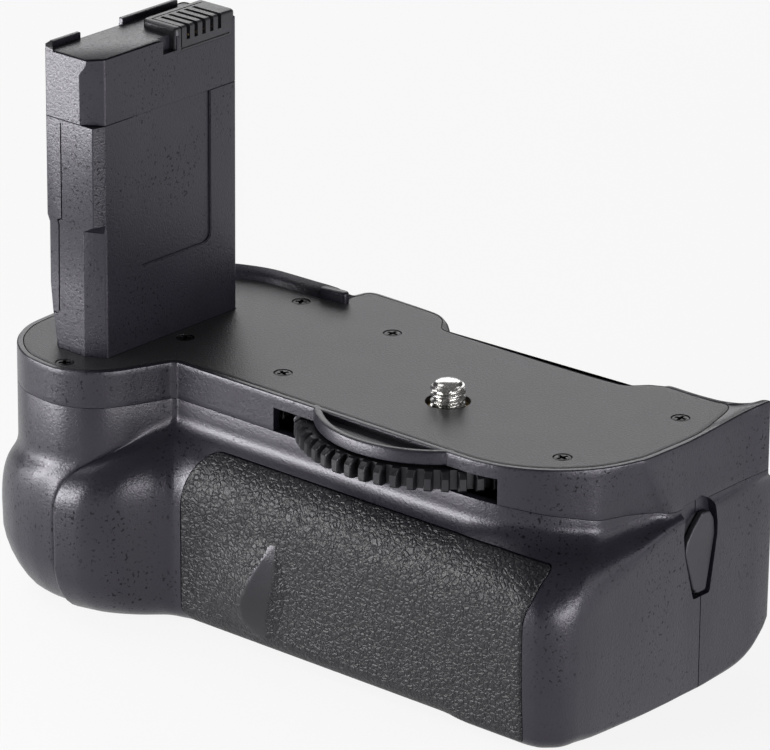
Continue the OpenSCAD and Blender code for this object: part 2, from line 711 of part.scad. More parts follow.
module rear_shell() {
    color(black) union() {
        difference() {
            intersection() {
                union() {
                    lower_walls();
                    jack_pad();
                }
                behind_split();
            }
            jack_opening();
            translate([hinge_x - barrel_r - door_gap, rear_y - 6, door_z0 - door_gap])
                cube([door_x1 + 2*door_gap - hinge_x + barrel_r, 8, door_z1 - door_z0 + 2*door_gap]);
        }
        hinge_lug(lug_top);
        hinge_lug(lug_base);
        for (x = tab_x) locating_tab(x);
        for (x = [-70, 20]) hull() {
            translate([x, split_y + 0.5, floor_z - 0.5]) cube([1.2, 1, 1.5]);
            translate([x, split_y + 10, floor_z - 0.2]) cube([1.2, 1, 1.8]);
        }
    }
}

module door_hinge_pin() {
    color(nickel) translate([hinge_x, hinge_y, lug_base[0]]) cylinder(r = pin_r, h = lug_top[1] - lug_base[0]);
}

// Latch: a finger piece outside, a neck through the door and a bolt behind it
latch_x = door_x1 - 10.5;
latch_z = door_z1 - 3.3;
neck = [5, 2.8];
knob = [8, 4.8];
knob_pocket = 1.2;
bolt_y = [rear_y - door_t - 2.5, rear_y - door_t - 0.7];
bolt_x1 = door_x1 - 0.4;
module battery_door() {
    color(satin) difference() {
        union() {
            translate([door_x0, rear_y - door_t, door_z0]) cube([door_x1 - door_x0, door_t, door_z1 - door_z0]);
            translate([hinge_x, hinge_y, barrel_z0]) cylinder(r = barrel_r, h = barrel_z1 - barrel_z0);
            translate([hinge_x, rear_y - door_t, barrel_z0])
                cube([door_x0 - hinge_x + 1, door_t, barrel_z1 - barrel_z0]);
        }
        translate([hinge_x, hinge_y, barrel_z0 - 1]) cylinder(r = pin_r + run_clear, h = 60);
        translate([latch_x - neck[0]/2 - door_gap, rear_y - 5, latch_z - neck[1]/2 - door_gap])
            cube([neck[0] + latch_travel + 2*door_gap, 8, neck[1] + 2*door_gap]);
        translate([latch_x - knob[0]/2 - door_gap, rear_y - knob_pocket, latch_z - knob[1]/2 - door_gap])
            cube([knob[0] + latch_travel + 2*door_gap, 4, knob[1] + 2*door_gap]);
    }
}
module door_latch() {
    color(black) {
        difference() {
            translate([latch_x - knob[0]/2, rear_y - knob_pocket + 0.3, latch_z - knob[1]/2])
                cube([knob[0], knob_pocket + 0.3, knob[1]]);
            for (i = [-1:1]) translate([latch_x + 2*i - 0.4, rear_y + 0.1, latch_z - knob[1]/2 - 1])
                cube([0.8, 2, knob[1] + 2]);
        }
        translate([latch_x - neck[0]/2, bolt_y[0], latch_z - neck[1]/2])
            cube([neck[0], rear_y - knob_pocket + 0.4 - bolt_y[0], neck[1]]);
        translate([latch_x - 5, bolt_y[0], latch_z - 2]) cube([bolt_x1 - latch_x + 5, bolt_y[1] - bolt_y[0], 4]);
    }
}

// Thumb wheel on the camera screw
hub_r = 4.5;
journal_r = 2.5;
relief_r = 2.8;
relief_w = 0.6;
tooth_depth = 1.4;
wheel_face_r = 22;
function wheel_points() = [for (i = [0:wheel_teeth - 1])
    let(pitch = 360/wheel_teeth, root = wheel_r - tooth_depth)
    each [for (q = [[0, root], [0.15, wheel_r], [0.6, wheel_r], [0.75, root]])
        q[1]*[cos((i + q[0])*pitch), sin((i + q[0])*pitch)]]];
module thumb_wheel() {
    color(satin) difference() {
        translate([0, 0, wheel_z0]) linear_extrude(wheel_t) polygon(wheel_points());
        translate([0, 0, wheel_z0 - 1]) cylinder(r = hub_r + press_gap, h = wheel_t + 2);
        for (z = [wheel_z0 - 1, wheel_z1 - 1]) translate([0, 0, z]) difference() {
            cylinder(r = wheel_face_r, h = 2);
            translate([0, 0, -1]) cylinder(r = hub_r + 3, h = 4);
        }
    }
}
module camera_screw() {
    color(nickel) difference() {
        union() {
            translate([0, 0, wheel_z1 - 1]) cylinder(r = stud_r, h = stud_proud - wheel_z1);
            translate([0, 0, stud_proud - 1]) cylinder(r1 = stud_r, r2 = stud_r - 0.8, h = 1);
            translate([0, 0, wheel_z0 - 0.7]) cylinder(r = hub_r, h = wheel_t + 0.7 - 0.05);
            translate([0, 0, retainer_z0 - 0.6]) cylinder(r = journal_r, h = 4);
        }
        translate([-0.5, -5, stud_proud - 1]) cube([1, 10, 3]);
        translate([0, 0, -relief_w]) difference() {
            cylinder(r = stud_r + 1, h = relief_w);
            translate([0, 0, -1]) cylinder(r = relief_r, h = 3);
        }
    }
}
module stud_bush() {
    color(brass) difference() {
        union() {
            translate([0, 0, roof_z]) cylinder(r = bush_r, h = roof_t);
            translate([0, 0, roof_z - bush_flange_t]) cylinder(r = bush_flange_r, h = bush_flange_t);
        }
        translate([0, 0, roof_z - 2]) cylinder(r = stud_r + run_clear, h = 5);
    }
}
module wheel_retainer() {
    color(nickel) translate([0, 0, retainer_z0]) difference() {
        linear_extrude(retainer_t) for (p = retainer_xy) hull() {
            circle(6.5, $fn = 32);
            translate(p) circle(3.2, $fn = 32);
        }
        translate([0, 0, -1]) cylinder(r = journal_r + run_clear, h = 4);
        for (p = retainer_xy) translate([p[0], p[1], -1]) cylinder(r = pilot_r, h = 4);
    }
}
module retainer_screws() {
    color(nickel) for (p = retainer_xy) translate([p[0], p[1], retainer_z0]) {
        translate([0, 0, -1]) cylinder(r = 1.9, h = 1);
        cylinder(r = screw_r, h = 3.6);
    }
}

// Plug: hollow case with a raised block on its front, cap above it, contact corner in the cap
panel_y = [plug_rear - 26.2, plug_rear - 6.4];
panel_z0 = 15.2;
panel_t = 0.4;
raised_z0 = 25.7;
raised_t = 0.6;
groove_w = 0.4;
rim_h = 1.05;
cap_lap = 0.6;
block_w = contact_count*contact_pitch + 2;
block_t = 8.7;
block_h = 9.6;
block_y1 = plug_rear - 0.9;
block_proud = 0.1;
slot_w = 0.9;
slot_l = 5.6;
slot_deep = 1.5;
notch = [6, 3.3, 4];
module raised_block() {
    translate([0, 0, raised_z0]) linear_extrude(case_h - raised_z0)
        polygon([[plug_x0 + plug_lead[0] + 0.2, plug_y0 - raised_t], [-plug_x - 0.7, plug_y0 - raised_t],
            [-plug_x - 0.1, plug_y0 + plug_chamfer[1]], [-plug_x - plug_chamfer[0], plug_y0 + plug_chamfer[1]],
            [plug_x0 + plug_lead[0] + 0.2, plug_y0 + 1]]);
}
module plug_case() {
    color(black) difference() {
        union() {
            translate([0, 0, -plate_t]) linear_extrude(case_h + plate_t) plug_outline();
            raised_block();
        }
        translate([0, 0, -plate_t - 1]) linear_extrude(case_h + plate_t - 0.6) plug_outline(plug_wall);
        translate([-plug_x - panel_t, panel_y[0], panel_z0])
            cube([5, panel_y[1] - panel_y[0], case_h - panel_z0 + 1]);
        translate([plug_x0 + 4.2, plug_y0 - raised_t - 1, raised_z0 - 1])
            cube([groove_w, 1.5, case_h]);
    }
}
module plug_cap() {
    color(black) difference() {
        union() {
            translate([0, 0, case_h + cap_lap - 0.1]) linear_extrude(cap_h - cap_lap + 0.1 - rim_h) plug_outline();
            translate([0, 0, case_h]) linear_extrude(cap_lap) plug_outline(cap_lap);
            translate([0, 0, plug_h - rim_h - 0.5]) linear_extrude(rim_h + 0.5) intersection() {
                plug_outline();
                for (span = [[1.7, 6.8], [19.5, 14]])
                    translate([plug_x0, plug_y0 + span[0]]) square([1, span[1]]);
            }
        }
        translate([-plug_x - block_t - press_gap, block_y1 - block_w - press_gap, plug_h - block_h - press_gap])
            cube([block_t + 5, block_w + 2*press_gap, block_h + 5]);
        translate([-plug_x - notch[0], block_y1 - block_w - notch[1], plug_h - notch[2]])
            cube([notch[0] + 5, notch[1] + 1, notch[2] + 5]);
    }
}
module contact_block() {
    color(satin) difference() {
        translate([-plug_x - block_t, block_y1 - block_w, plug_h - block_h])
            cube([block_t + block_proud, block_w, block_h]);
        for (i = [0:contact_count - 1])
            translate([-plug_x - slot_l, contact_y(i) - slot_w/2, plug_h - slot_deep])
                cube([slot_l + 2, slot_w, slot_deep + 2]);
    }
}
function contact_y(i) = block_y1 - 1 - (i + 0.5)*contact_pitch;
contact_t = 0.3;
module plug_contacts() {
    color(brass) for (i = [0:contact_count - 1])
        translate([-plug_x - slot_l + 0.4, contact_y(i) - slot_w/2 + 0.1, plug_h - slot_deep])
            cube([slot_l - 0.8, slot_w - 0.2, contact_t]);
}

// Rubber flap over the jack, hinged on the bead along its lower edge
flap_t = 1.2;
flap_x1 = br - 0.1;
flap_hinge_z = jack_z - port_drop - 0.6;
flap_head = [0.15, -0.6];
flap_head_r = port_head_r - 1.2;
flap_tail_r = 1.5;
bead_l = 2.4;
module port_cover() {
    color(rubber_black) difference() {
        translate([flap_x1 - flap_t, split_y, jack_z]) rotate([90, 0, 90]) linear_extrude(flap_t) hull() {
            translate(flap_head) circle(flap_head_r, $fn = 32);
            translate([0.1, -port_drop]) circle(flap_tail_r, $fn = 24);
        }
        translate([br - 5, split_y - 10, flap_hinge_z - 10]) cube([10, 20, 10]);
    }
    color(rubber_black) translate([flap_x1 - flap_t/2, split_y + bead_l/2, flap_hinge_z])
        rotate([90, 0, 0]) cylinder(r = flap_t/2, h = bead_l);
}
module cable_jack() {
    color(satin) translate([0, split_y, jack_z]) rotate([0, 90, 0]) difference() {
        union() {
            translate([0, 0, jack_x0]) cylinder(r = jack_body_r, h = port_floor - jack_nose - press_gap - jack_x0);
            translate([0, 0, jack_x0]) cylinder(r = jack_nose_r, h = port_floor - jack_x0);
        }
        translate([0, 0, jack_x0 + 0.6]) cylinder(r = jack_r, h = 20);
    }
}

// Release: fixed collar, lock ring on the collar's spigot, button and its switch
collar_bore = button_r + 0.4;
collar_deep = 8.2;
flange_t = 1;
spigot_r = collar_bore + 1.3;
ring_t = 1.3;
ring_gap = 0.3;
ring_z = flange_t + ring_gap;
snap_t = 0.5;
module shutter_collar() {
    color(satin) on_hand_end() difference() {
        union() {
            translate([0, 0, -collar_deep]) cylinder(r = collar_r, h = collar_deep + 0.5);
            translate([0, 0, 0.05]) cylinder(r = collar_r + 1.2, h = flange_t - 0.05);
            cylinder(r = spigot_r, h = ring_z + ring_t + ring_gap + 0.1);
            translate([0, 0, ring_z + ring_t + ring_gap]) cylinder(r = spigot_r + 0.7, h = snap_t);
        }
        translate([0, 0, 1.2 - collar_deep]) cylinder(r = collar_bore, h = 20);
        translate([0, 0, -collar_deep - 2]) cylinder(r = 1.5, h = 5);
    }
}
module shutter_lock() {
    color(black) on_hand_end() translate([0, 0, ring_z]) difference() {
        union() {
            cylinder(r = collar_r + 0.6, h = ring_t);
            linear_extrude(ring_t) hull() {
                circle(4, $fn = 24);
                translate([0, collar_r + 2.4]) circle(1.2, $fn = 24);
            }
        }
        translate([0, 0, -5]) cylinder(r = spigot_r + ring_gap, h = 20);
    }
}
module shutter_button() {
    color(satin) on_hand_end() {
        translate([0, 0, -2.6]) cylinder(r = button_r, h = 5.4);
        translate([0, 0, 2.8]) cylinder(r1 = button_r, r2 = button_r - 1, h = 0.7);
        translate([0, 0, -3.4]) cylinder(r = 1.6, h = 1);
    }
}
module shutter_switch() {
    color(satin) on_hand_end() {
        translate([-3, -3, -7]) cube([6, 6, 1.4]);
        translate([0, 0, -5.7]) cylinder(r = 1.5, h = 0.8);
    }
}

module base_screws() {
    color(satin) for (p = foot_xy) translate([p[0], p[1], base_z + 0.15]) {
        cylinder(r = base_head_r, h = base_head_t - 0.2);
        cylinder(r = screw_r, h = 8);
    }
}
module tripod_bush() {
    color(brass) difference() {
        union() {
            translate([0, 0, base_z + 0.1]) cylinder(r = bush_hex_r, h = 8.2);
            translate([0, 0, floor_z + 0.05]) cylinder(r = bush_hex_r + 2.5, h = 1.5);
        }
        translate([0, 0, base_z - 1]) cylinder(r = tripod_r, h = 8.3);
    }
}

// Cage with two bays, open to the rear, on four feet
board_z = cage_z1 + 2.6;
board_t = 1.2;
board_x = [-36, 24];
board_y = [cage_y0 + 12, cage_y0 + 38];
post_xy = [for (x = [board_x[0] + 4, board_x[1] - 4], y = [board_y[0] + 4, board_y[1] - 4]) [x, y]];
module battery_cage() {
    color([0.13, 0.13, 0.14]) difference() {
        union() {
            translate([cage_x0, cage_y0, cage_z0])
                cube([cage_x1 - cage_x0, cage_y1 - cage_y0, cage_z1 - cage_z0]);
            for (p = foot_xy) translate([p[0], p[1], floor_z + pad_h])
                cylinder(r = foot_r, h = cage_z0 - floor_z - pad_h + 0.5);
            for (p = post_xy) translate([p[0], p[1], cage_z1 - 0.5]) cylinder(r = 2, h = board_z - cage_z1 + 0.5);
        }
        for (i = [0, 1]) translate([cage_x0 + cage_t + i*(bay_w + divider), bay_y0, bay_z0])
            cube([bay_w, 80, bay_h]);
        for (p = foot_xy) translate([p[0], p[1], floor_z]) cylinder(r = pilot_r, h = 6.8);
    }
}
blade = [0.6, 2.4, 5];
module bay_contacts() {
    color(brass) for (i = [0, 1], k = [0:contact_count - 1])
        translate([cage_x0 + cage_t + i*(bay_w + divider) + 4 + k*contact_pitch, bay_y0,
            bay_z0 + (bay_h - blade[2])/2]) cube(blade);
}
module circuit_board() {
    color([0.08, 0.22, 0.12]) {
        translate([board_x[0], board_y[0], board_z])
            cube([board_x[1] - board_x[0], board_y[1] - board_y[0], board_t]);
        for (c = [[-24, 2, 9, 9, 1.2], [-6, -2, 7, 5, 1.2], [8, 6, 6, 4, 1.6], [-32, 9, 6, 4, 2.4]])
            translate([c[0], c[1], board_z + board_t - eps]) cube([c[2], c[3], c[4]]);
    }
}

top_cover();
top_plate();
front_shell();
rear_shell();
grip_rubber();
thumb_wheel();
camera_screw();
stud_bush();
wheel_retainer();
retainer_screws();
plug_case();
plug_cap();
contact_block();
plug_contacts();
plate_screws();
port_cover();
cable_jack();
shutter_collar();
shutter_lock();
shutter_button();
shutter_switch();
circuit_board();
battery_cage();
bay_contacts();
battery_door();
door_hinge_pin();
door_latch();
tripod_bush();
base_screws();
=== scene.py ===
import json
import math

import bmesh
import bpy
import numpy as np
from mathutils import Matrix, Vector
from mathutils.bvhtree import BVHTree

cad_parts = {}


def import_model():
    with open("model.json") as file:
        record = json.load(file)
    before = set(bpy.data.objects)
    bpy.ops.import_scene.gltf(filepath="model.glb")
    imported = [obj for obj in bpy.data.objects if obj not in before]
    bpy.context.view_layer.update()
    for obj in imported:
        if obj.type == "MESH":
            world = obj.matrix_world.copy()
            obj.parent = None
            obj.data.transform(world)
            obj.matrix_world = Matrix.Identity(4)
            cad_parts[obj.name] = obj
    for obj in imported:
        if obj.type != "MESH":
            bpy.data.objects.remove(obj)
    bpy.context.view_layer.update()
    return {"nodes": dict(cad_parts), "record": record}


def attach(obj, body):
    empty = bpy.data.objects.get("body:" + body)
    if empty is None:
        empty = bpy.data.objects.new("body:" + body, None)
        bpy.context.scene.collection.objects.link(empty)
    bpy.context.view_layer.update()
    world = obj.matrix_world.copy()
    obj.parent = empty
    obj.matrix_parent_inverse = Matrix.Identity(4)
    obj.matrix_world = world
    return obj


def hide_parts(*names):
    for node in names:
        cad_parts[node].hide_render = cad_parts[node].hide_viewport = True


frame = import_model()

# Lengths are in mm until a mesh is made.
MM = 0.001
STEPS = 7
ROUND = 56

# Lines and places of the housing and its fittings, as in the CAD part
SEAT_FRONT, SEAT_END, HAND_END = -18.3, 43.6, -82.0
LOBE_FRONT, KNEE = -35.2, -48.9
BODY_FRONT, BODY_END, BODY_HAND, REAR = -24.4, 44.6, -84.7, 36.7
BASE, SEAM, FOOT, SHOULDER, ROOF = -47.5, -7.0, -9.6, -25.0, -2.5
SPLIT, SPLIT_GAP = 16.5, 0.11
WALL_LOW, WALL_HIGH = (-66, -19), (40, 30)
BASE_LOW, BASE_HIGH = (-66, -19), (40, 11)
PLUG_X0, PLUG_X1, PLUG_Y0, PLUG_Y1, PLUG_TOP, CASE_TOP = -71.7, -58.8, -27.8, 9.0, 56.3, 44.0
WHEEL_TOP, WHEEL_FOOT, WHEEL_R = -2.9, -6.5, 27.2
SCREWS = ((-52.4, 19.6), (-29.3, 18.7), (-30.8, -9.3), (-55.6, -8.3), (35.4, 21.4), (31.7, -6.6),
          (-63.2, -31.8))
BASE_SCREWS = ((-40.95, -14.2), (30.95, -14.2), (-40.95, 8.5), (30.95, 8.5))
BASE_HEAD_R, BASE_SHANK_R, BASE_HEAD_FLOOR = 2.35, 1.1, -46.3
RELEASE, RELEASE_R = (-85.0, -8.0, -31.0), 8.05
TRIPOD_R = 6.1
PORT_FLOOR, PORT_CLEAR = 43.0, 50
JACK_Z, JACK_R = -17.4, 2.95
DOORWAY = ((-53.0, 30, -38.95), (39.65, 50, -17.05))
SHELL_WALL, SEAM_GAP = 1.8, 0.02

# Local axes for pieces that are drawn flat and stand on a wall: columns are u, v and the way out
TO_END = np.array(((0, 0, 1), (1, 0, 0), (0, 1, 0)), float)
TO_FRONT = np.array(((1, 0, 0), (0, 0, -1), (0, 1, 0)), float)
TO_HAND = np.array(((0, 0, -1), (0, 1, 0), (1, 0, 0)), float)
UPRIGHT = np.eye(3)


# Meshes

def new_object(name, verts, faces):
    mesh = bpy.data.meshes.new(name)
    mesh.from_pydata((np.asarray(verts, float) * MM).tolist(), [], [tuple(map(int, f)) for f in faces])
    bm = bmesh.new()
    bm.from_mesh(mesh)
    bmesh.ops.recalc_face_normals(bm, faces=bm.faces)
    bm.to_mesh(mesh)
    bm.free()
    obj = bpy.data.objects.new(name, mesh)
    bpy.context.scene.collection.objects.link(obj)
    return obj


def loft(name, rings, closed=False):
    """Skin over rings of equal length: closed on itself, or capped at both ends."""
    count, last = len(rings[0]), len(rings)
    i = np.arange(count)
    j = (i + 1) % count
    faces = []
    for k in range(last if closed else last - 1):
        a, b = k * count, (k + 1) % last * count
        faces += np.column_stack([a + i, a + j, b + j, b + i]).tolist()
    if not closed:
        faces += [i[::-1].tolist(), ((last - 1) * count + i).tolist()]
    return new_object(name, np.concatenate(rings), faces)


def join(name, objects):
    bm = bmesh.new()
    for obj in objects:
        bm.from_mesh(obj.data)
        bpy.data.objects.remove(obj)
    mesh = bpy.data.meshes.new(name)
    bm.to_mesh(mesh)
    bm.free()
    obj = bpy.data.objects.new(name, mesh)
    bpy.context.scene.collection.objects.link(obj)
    return obj


def bake(obj):
    mesh = bpy.data.meshes.new_from_object(obj.evaluated_get(bpy.context.evaluated_depsgraph_get()))
    obj.modifiers.clear()
    obj.data = mesh
    return obj


def carve(obj, tools, operation="DIFFERENCE"):
    """Cuts the tools out of obj, or joins them on; tools in one call stand clear of each other."""
    tool = join("tool", tools)
    step = obj.modifiers.new("carve", "BOOLEAN")
    step.operation, step.object, step.solver = operation, tool, "MANIFOLD"
    bake(obj)
    bpy.data.objects.remove(tool)
    return obj


def piece(obj, body, node, slot, look=None, angle=32):
    """Shades obj, rides it on its body and puts it in place of a CAD node."""
    obj.data.shade_smooth()
    obj.data.set_sharp_from_angle(angle=math.radians(angle))
    obj.data.materials.clear()
    obj.data.materials.append(look or LOOKS[slot])
    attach(obj, body)
    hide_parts(node)
    return obj


# Outlines

def unit(v):
    return v / np.linalg.norm(v, axis=-1, keepdims=True)


def outward(ring):
    t = unit(np.roll(ring, -1, 0) - np.roll(ring, 1, 0))
    return np.column_stack([t[:, 1], -t[:, 0]])


def grown(ring, distance):
    return ring + distance * outward(ring)


def inward(points, low, high):
    return unit(np.clip(points, low, high) - points)


def fillet(corners, steps=6):
    """Closed outline through (u, v, radius) corners, each rounded off."""
    points = np.array([c[:2] for c in corners], float)
    out = []
    for i, (_, _, r) in enumerate(corners):
        p = points[i]
        a, b = unit(points[i - 1] - p), unit(points[(i + 1) % len(corners)] - p)
        if r == 0:
            out.append(p)
            continue
        half = math.acos(np.clip(a @ b, -1, 1)) / 2
        centre = p + unit(a + b) * r / math.sin(half)
        start, end = p + a * r / math.tan(half) - centre, p + b * r / math.tan(half) - centre
        out += [centre + r * unit(start * (1 - t) + end * t) for t in np.linspace(0, 1, steps + 1)]
    return np.array(out)


def circle(r, count=ROUND, centre=(0, 0)):
    a = np.arange(count) * 2 * math.pi / count
    return np.column_stack([centre[0] + r * np.cos(a), centre[1] + r * np.sin(a)])


def level(ring, z, axes=UPRIGHT, at=(0, 0, 0)):
    flat = np.column_stack([ring, np.broadcast_to(z, len(ring))])
    return flat @ axes.T + at


def slab(name, outline, z0, z1, edge=0.0, foot=0.0, axes=UPRIGHT, at=(0, 0, 0)):
    """An outline drawn up from z0 to z1, with its top and foot edges rounded."""
    bend = np.radians(np.linspace(0, 90, 5))
    layers = [(0, z0)]
    if foot:
        layers = [(foot * (1 - math.sin(a)), z0 + foot * (1 - math.cos(a))) for a in bend]
    if edge:
        layers += [(edge * (1 - math.cos(a)), z1 - edge * (1 - math.sin(a))) for a in bend]
    else:
        layers.append((0, z1))
    return loft(name, [level(grown(outline, -inset), z, axes, at) for inset, z in layers])


def lathe(name, profile, count=ROUND, axes=UPRIGHT, at=(0, 0, 0), closed=False):
    return loft(name, [level(circle(r, count), z, axes, at) for r, z in profile], closed)


def block(low, high):
    x0, y0, z0 = low
    x1, y1, z1 = high
    return slab("block", np.array(((x0, y0), (x1, y0), (x1, y1), (x0, y1)), float), z0, z1)


# Housing: stations round the body, each with its seat edge, body wall, seam, foot and shoulder heights,
# lip height and width, the height, reach and flatness of the rounding at the base, and the seam's line

def station(seat, body, levels, lip=(0, 1.2), base=(4.6, 4.6), low=None):
    return [*seat, *body, *levels, *lip, *(*base, 1.0)[:3], *(low or seat)]


def front_stations():
    front, knee = (SEAM, FOOT, SHOULDER), (SEAM, FOOT - 0.5, SHOULDER)
    return [
        station((KNEE, SEAT_FRONT - 0.6), (KNEE + 3.3, BODY_FRONT - 3), knee, base=(6.5, 6.5)),
        station((KNEE + 1, SEAT_FRONT), (KNEE + 6.1, BODY_FRONT - 0.6), front),
        station((KNEE + 4.9, SEAT_FRONT), (KNEE + 9.9, BODY_FRONT), front),
        station((-20, SEAT_FRONT), (-20, BODY_FRONT), front),
        station((0, SEAT_FRONT), (2, BODY_FRONT), front),
        station((14.6, SEAT_FRONT), (18.6, BODY_FRONT), front)]


def corner_stations():
    """Front corner of the cable end: the seat is an arc, and the body goes from the front to the end wall."""
    rows, r = [], 25
    for angle, end, step, seam, foot, shoulder in (
            (3, 19.6, 0, 0, 0, -25), (15, 13, 0, 0.2, 0.1, -25), (26, 7.6, 0, 0.6, 0.25, -25.1),
            (34, 4.4, 0.5, 1.1, 0.4, -25.3), (42, 1.8, 2.1, 1.6, 0.6, -25.5),
            (50, 0.05, 4.5, 2.1, 0.85, -25.5), (58, -0.55, 7.4, 2.7, 1.1, -24.8)):
        a = math.radians(angle)
        seat = (SEAT_END - r + r * math.sin(a), SEAT_FRONT + r - r * math.cos(a))
        body = (BODY_END - end, BODY_FRONT + step)
        rows.append(station(seat, body, (SEAM - seam, FOOT - foot, shoulder), base=(3.2, 3.2)))
    return rows


def end_stations():
    """Cable end, up to the ramp at its rear corner."""
    end = BODY_END
    return [
        station((41.7, -2.7), (end + 0.7, -12.5), (-10.5, -11.2, -22.8), base=(2.2, 2.2), low=(40.9, 0.3)),
        station((42.75, 0.6), (end + 0.65, -5), (-11.5, -11.9, -20.2), base=(1.4, 1.4), low=(42.3, 6.2)),
        station((43.15, 1.9), (end + 0.55, 1), (-12.0, -12.3, -18.0), base=(0.8, 0.8), low=(43.3, 8.4)),
        station((43.35, 3.4), (end + 0.45, 5), (-12.2, -12.4, -16.4), base=(0.6, 0.6), low=(43.6, 9.9)),
        station((43.5, 6.0), (end + 0.38, 8.4), (-12.3, -12.5, -15.3), base=(0.5, 0.5), low=(43.6, 11)),
        station((43.6, 9.5), (end + 0.3, 11.4), (-12.3, -12.6, -14.6), base=(0.5, 0.5), low=(43.6, 12.4)),
        station((43.7, 13), (end + 0.25, 14.2), (-12.2, -12.8, -14.3), base=(0.5, 0.5), low=(43.7, 14.4)),
        station((43.9, 17), (end + 0.2, 17.4), (-12.0, -12.5, -14.5), (0.3, 1.5), (0.6, 0.6)),
        station((44.7, 28), (end + 0.3, 28), (-11.3, -11.8, -15), (1.6, 5), (2.6, 5)),
        station((45.4, 31.8), (end + 0.4, 32.5), (-10.9, -11.4, -15), (2.1, 7), (5.2, 9)),
        station((45.6, 33.9), (end + 0.3, 36.0), (-10.7, -11.2, -15), (2.2, 6.5), (9, 15)),
        station((44.0, 34.4), (end - 0.3, 36.6), (-10.6, -11.2, -15), (1.8, 5.5), (9.5, 17))]


def rear_stations():
    """Rear wall: seat edge, then lip height and width."""
    rows = []
    for x, y, height, width in (
            (41.5, 33.9, 0.75, 3), (39, 33.2, 0.3, 1.4), (35, 32.4, 0.15, 1), (30, 32.1, 0.12, 0.9),
            (25, 32.2, 0.1, 0.9), (21.5, 31.7, -1.2, 1.6), (17, 30.0, -2.8, 3.4), (0, 29.7, -3, 3.8),
            (-19.6, 29.7, -3, 3.8), (-24.0, 29.8, -2.6, 3.4), (-27.0, 31.2, -0.8, 1.2),
            (-30.5, 32.1, -0.1, 0.8), (-44.3, 32.4, 0, 0.8), (-46.7, 31.4, 0, 0.8), (-47.5, 28.8, 0, 0.9)):
        body = (min(x, BODY_END - 1.5), REAR)
        rows.append(station((x, y), body, (-11, -11.3, -16), (height, width), (9.5, 18)))
    return rows


def hand_stations():
    """Raised rim at the rear of the hand end, and the end itself."""
    return [
        station((-48.8, 25.7), (-50, REAR), (-9, -10, -17), (2.0, 1.6), (8.5, 18)),
        station((-52, 25.2), (-55, REAR - 0.3), (-8.8, -11, -18), (2.25, 2), (8.5, 18)),
        station((-62, 24.8), (-65, REAR - 2.1), (-8.3, -12.5, -20), (2.25, 2), (8.5, 16)),
        station((-70.5, 22.3), (-73, REAR - 5.9), (-7.8, -14, -23), (2.25, 2.1), (9, 14)),
        station((-76.5, 18), (-79.5, REAR - 12.3), (-7.4, -15.5, -26), (1.5, 2.1), (10.5, 12)),
        station((-80.6, 11), (-83.6, 14.5), (SEAM, -17, -29), (0.6, 1.8), (12, 12)),
        station((-82, 3), (-84.6, 4), (SEAM, -19.5, -31), base=(13, 13)),
        station((-82.2, -12), (-84.9, -13), (SEAM, -20, -31), base=(13, 12, 1.0))]


def lobe_stations():
    """Rounded lobe under the plug, and the hollow between it and the grip."""
    rows, r = [], 17.5
    for angle, end, step, foot, shoulder, base in (
            (10, 0.5, 13.2, -19.6, -31, (13, 11, 1.0)), (30, 2.8, 6.3, -18.2, -31, (13.5, 9.4, 1.1)),
            (50, 7.3, 1.6, -17.2, -30.4, (13.5, 8.6, 1.15)), (72, 13.3, -1.1, -16.8, -29.4, (13, 8, 1.15))):
        a = math.radians(angle)
        seat = (HAND_END + r - r * math.cos(a), LOBE_FRONT + r - r * math.sin(a))
        rows.append(station(seat, (BODY_HAND + end, LOBE_FRONT + step), (SEAM, foot, shoulder), base=base))
    return rows + [
        station((-63.5, -35.2), (-66.3, -37.0), (SEAM, -16.2, -28), base=(12.5, 8, 1.15)),
        station((-58.4, -33.6), (-62.4, -37.0), (SEAM, -15.6, -28.5), base=(12.3, 8, 1.15)),
        station((-54.8, -30.8), (-61.4, -36.7), (SEAM, -14.3, -28), base=(12, 8.2, 1.1)),
        station((-52.8, -27.8), (-60.4, -38.0), (SEAM, -13, -27), base=(11.5, 9)),
        station((-51.4, -24.6), (-56, -37.2), (SEAM, -11.8, -26), base=(11, 9.5)),
        station((-50.1, -21.6), (-50.2, -33.4), (SEAM, -10.8, -25.3), base=(9, 9))]


def housing_stations():
    return np.array(front_stations() + corner_stations() + end_stations() + rear_stations()
                    + hand_stations() + lobe_stations(), float)


def smooth_run(rows, steps):
    """Closed run through the rows that never overshoots them."""
    ahead = np.roll(rows, -1, 0) - rows
    behind = np.roll(ahead, 1, 0)
    same = ahead * behind > 0
    slope = np.where(same, 2 * ahead * behind / np.where(same, ahead + behind, 1), 0)
    nxt, nxt_slope = np.roll(rows, -1, 0), np.roll(slope, -1, 0)
    out = []
    for u in np.arange(steps) / steps:
        out.append((2 * u**3 - 3 * u**2 + 1) * rows + (u**3 - 2 * u**2 + u) * slope
                   + (3 * u**2 - 2 * u**3) * nxt + (u**3 - u**2) * nxt_slope)
    return np.stack(out, 1).reshape(-1, rows.shape[1])


# Inner edge of the seat's rim where it leaves the outer edge: the ramp at the rear of the cable end,
# and the step behind the seat
RAMP_EDGE = {
    (44.7, 28): (39.9, 28), (45.4, 31.8): (39.1, 30.2), (45.6, 33.9): (38.5, 31.1),
    (44.0, 34.4): (38.0, 31.5), (41.5, 33.9): (37.5, 31.7), (39, 33.2): (36.9, 31.75),
    (-24.0, 29.8): (-23.4, 26.1), (-27.0, 31.2): (-27.4, 30.2)}


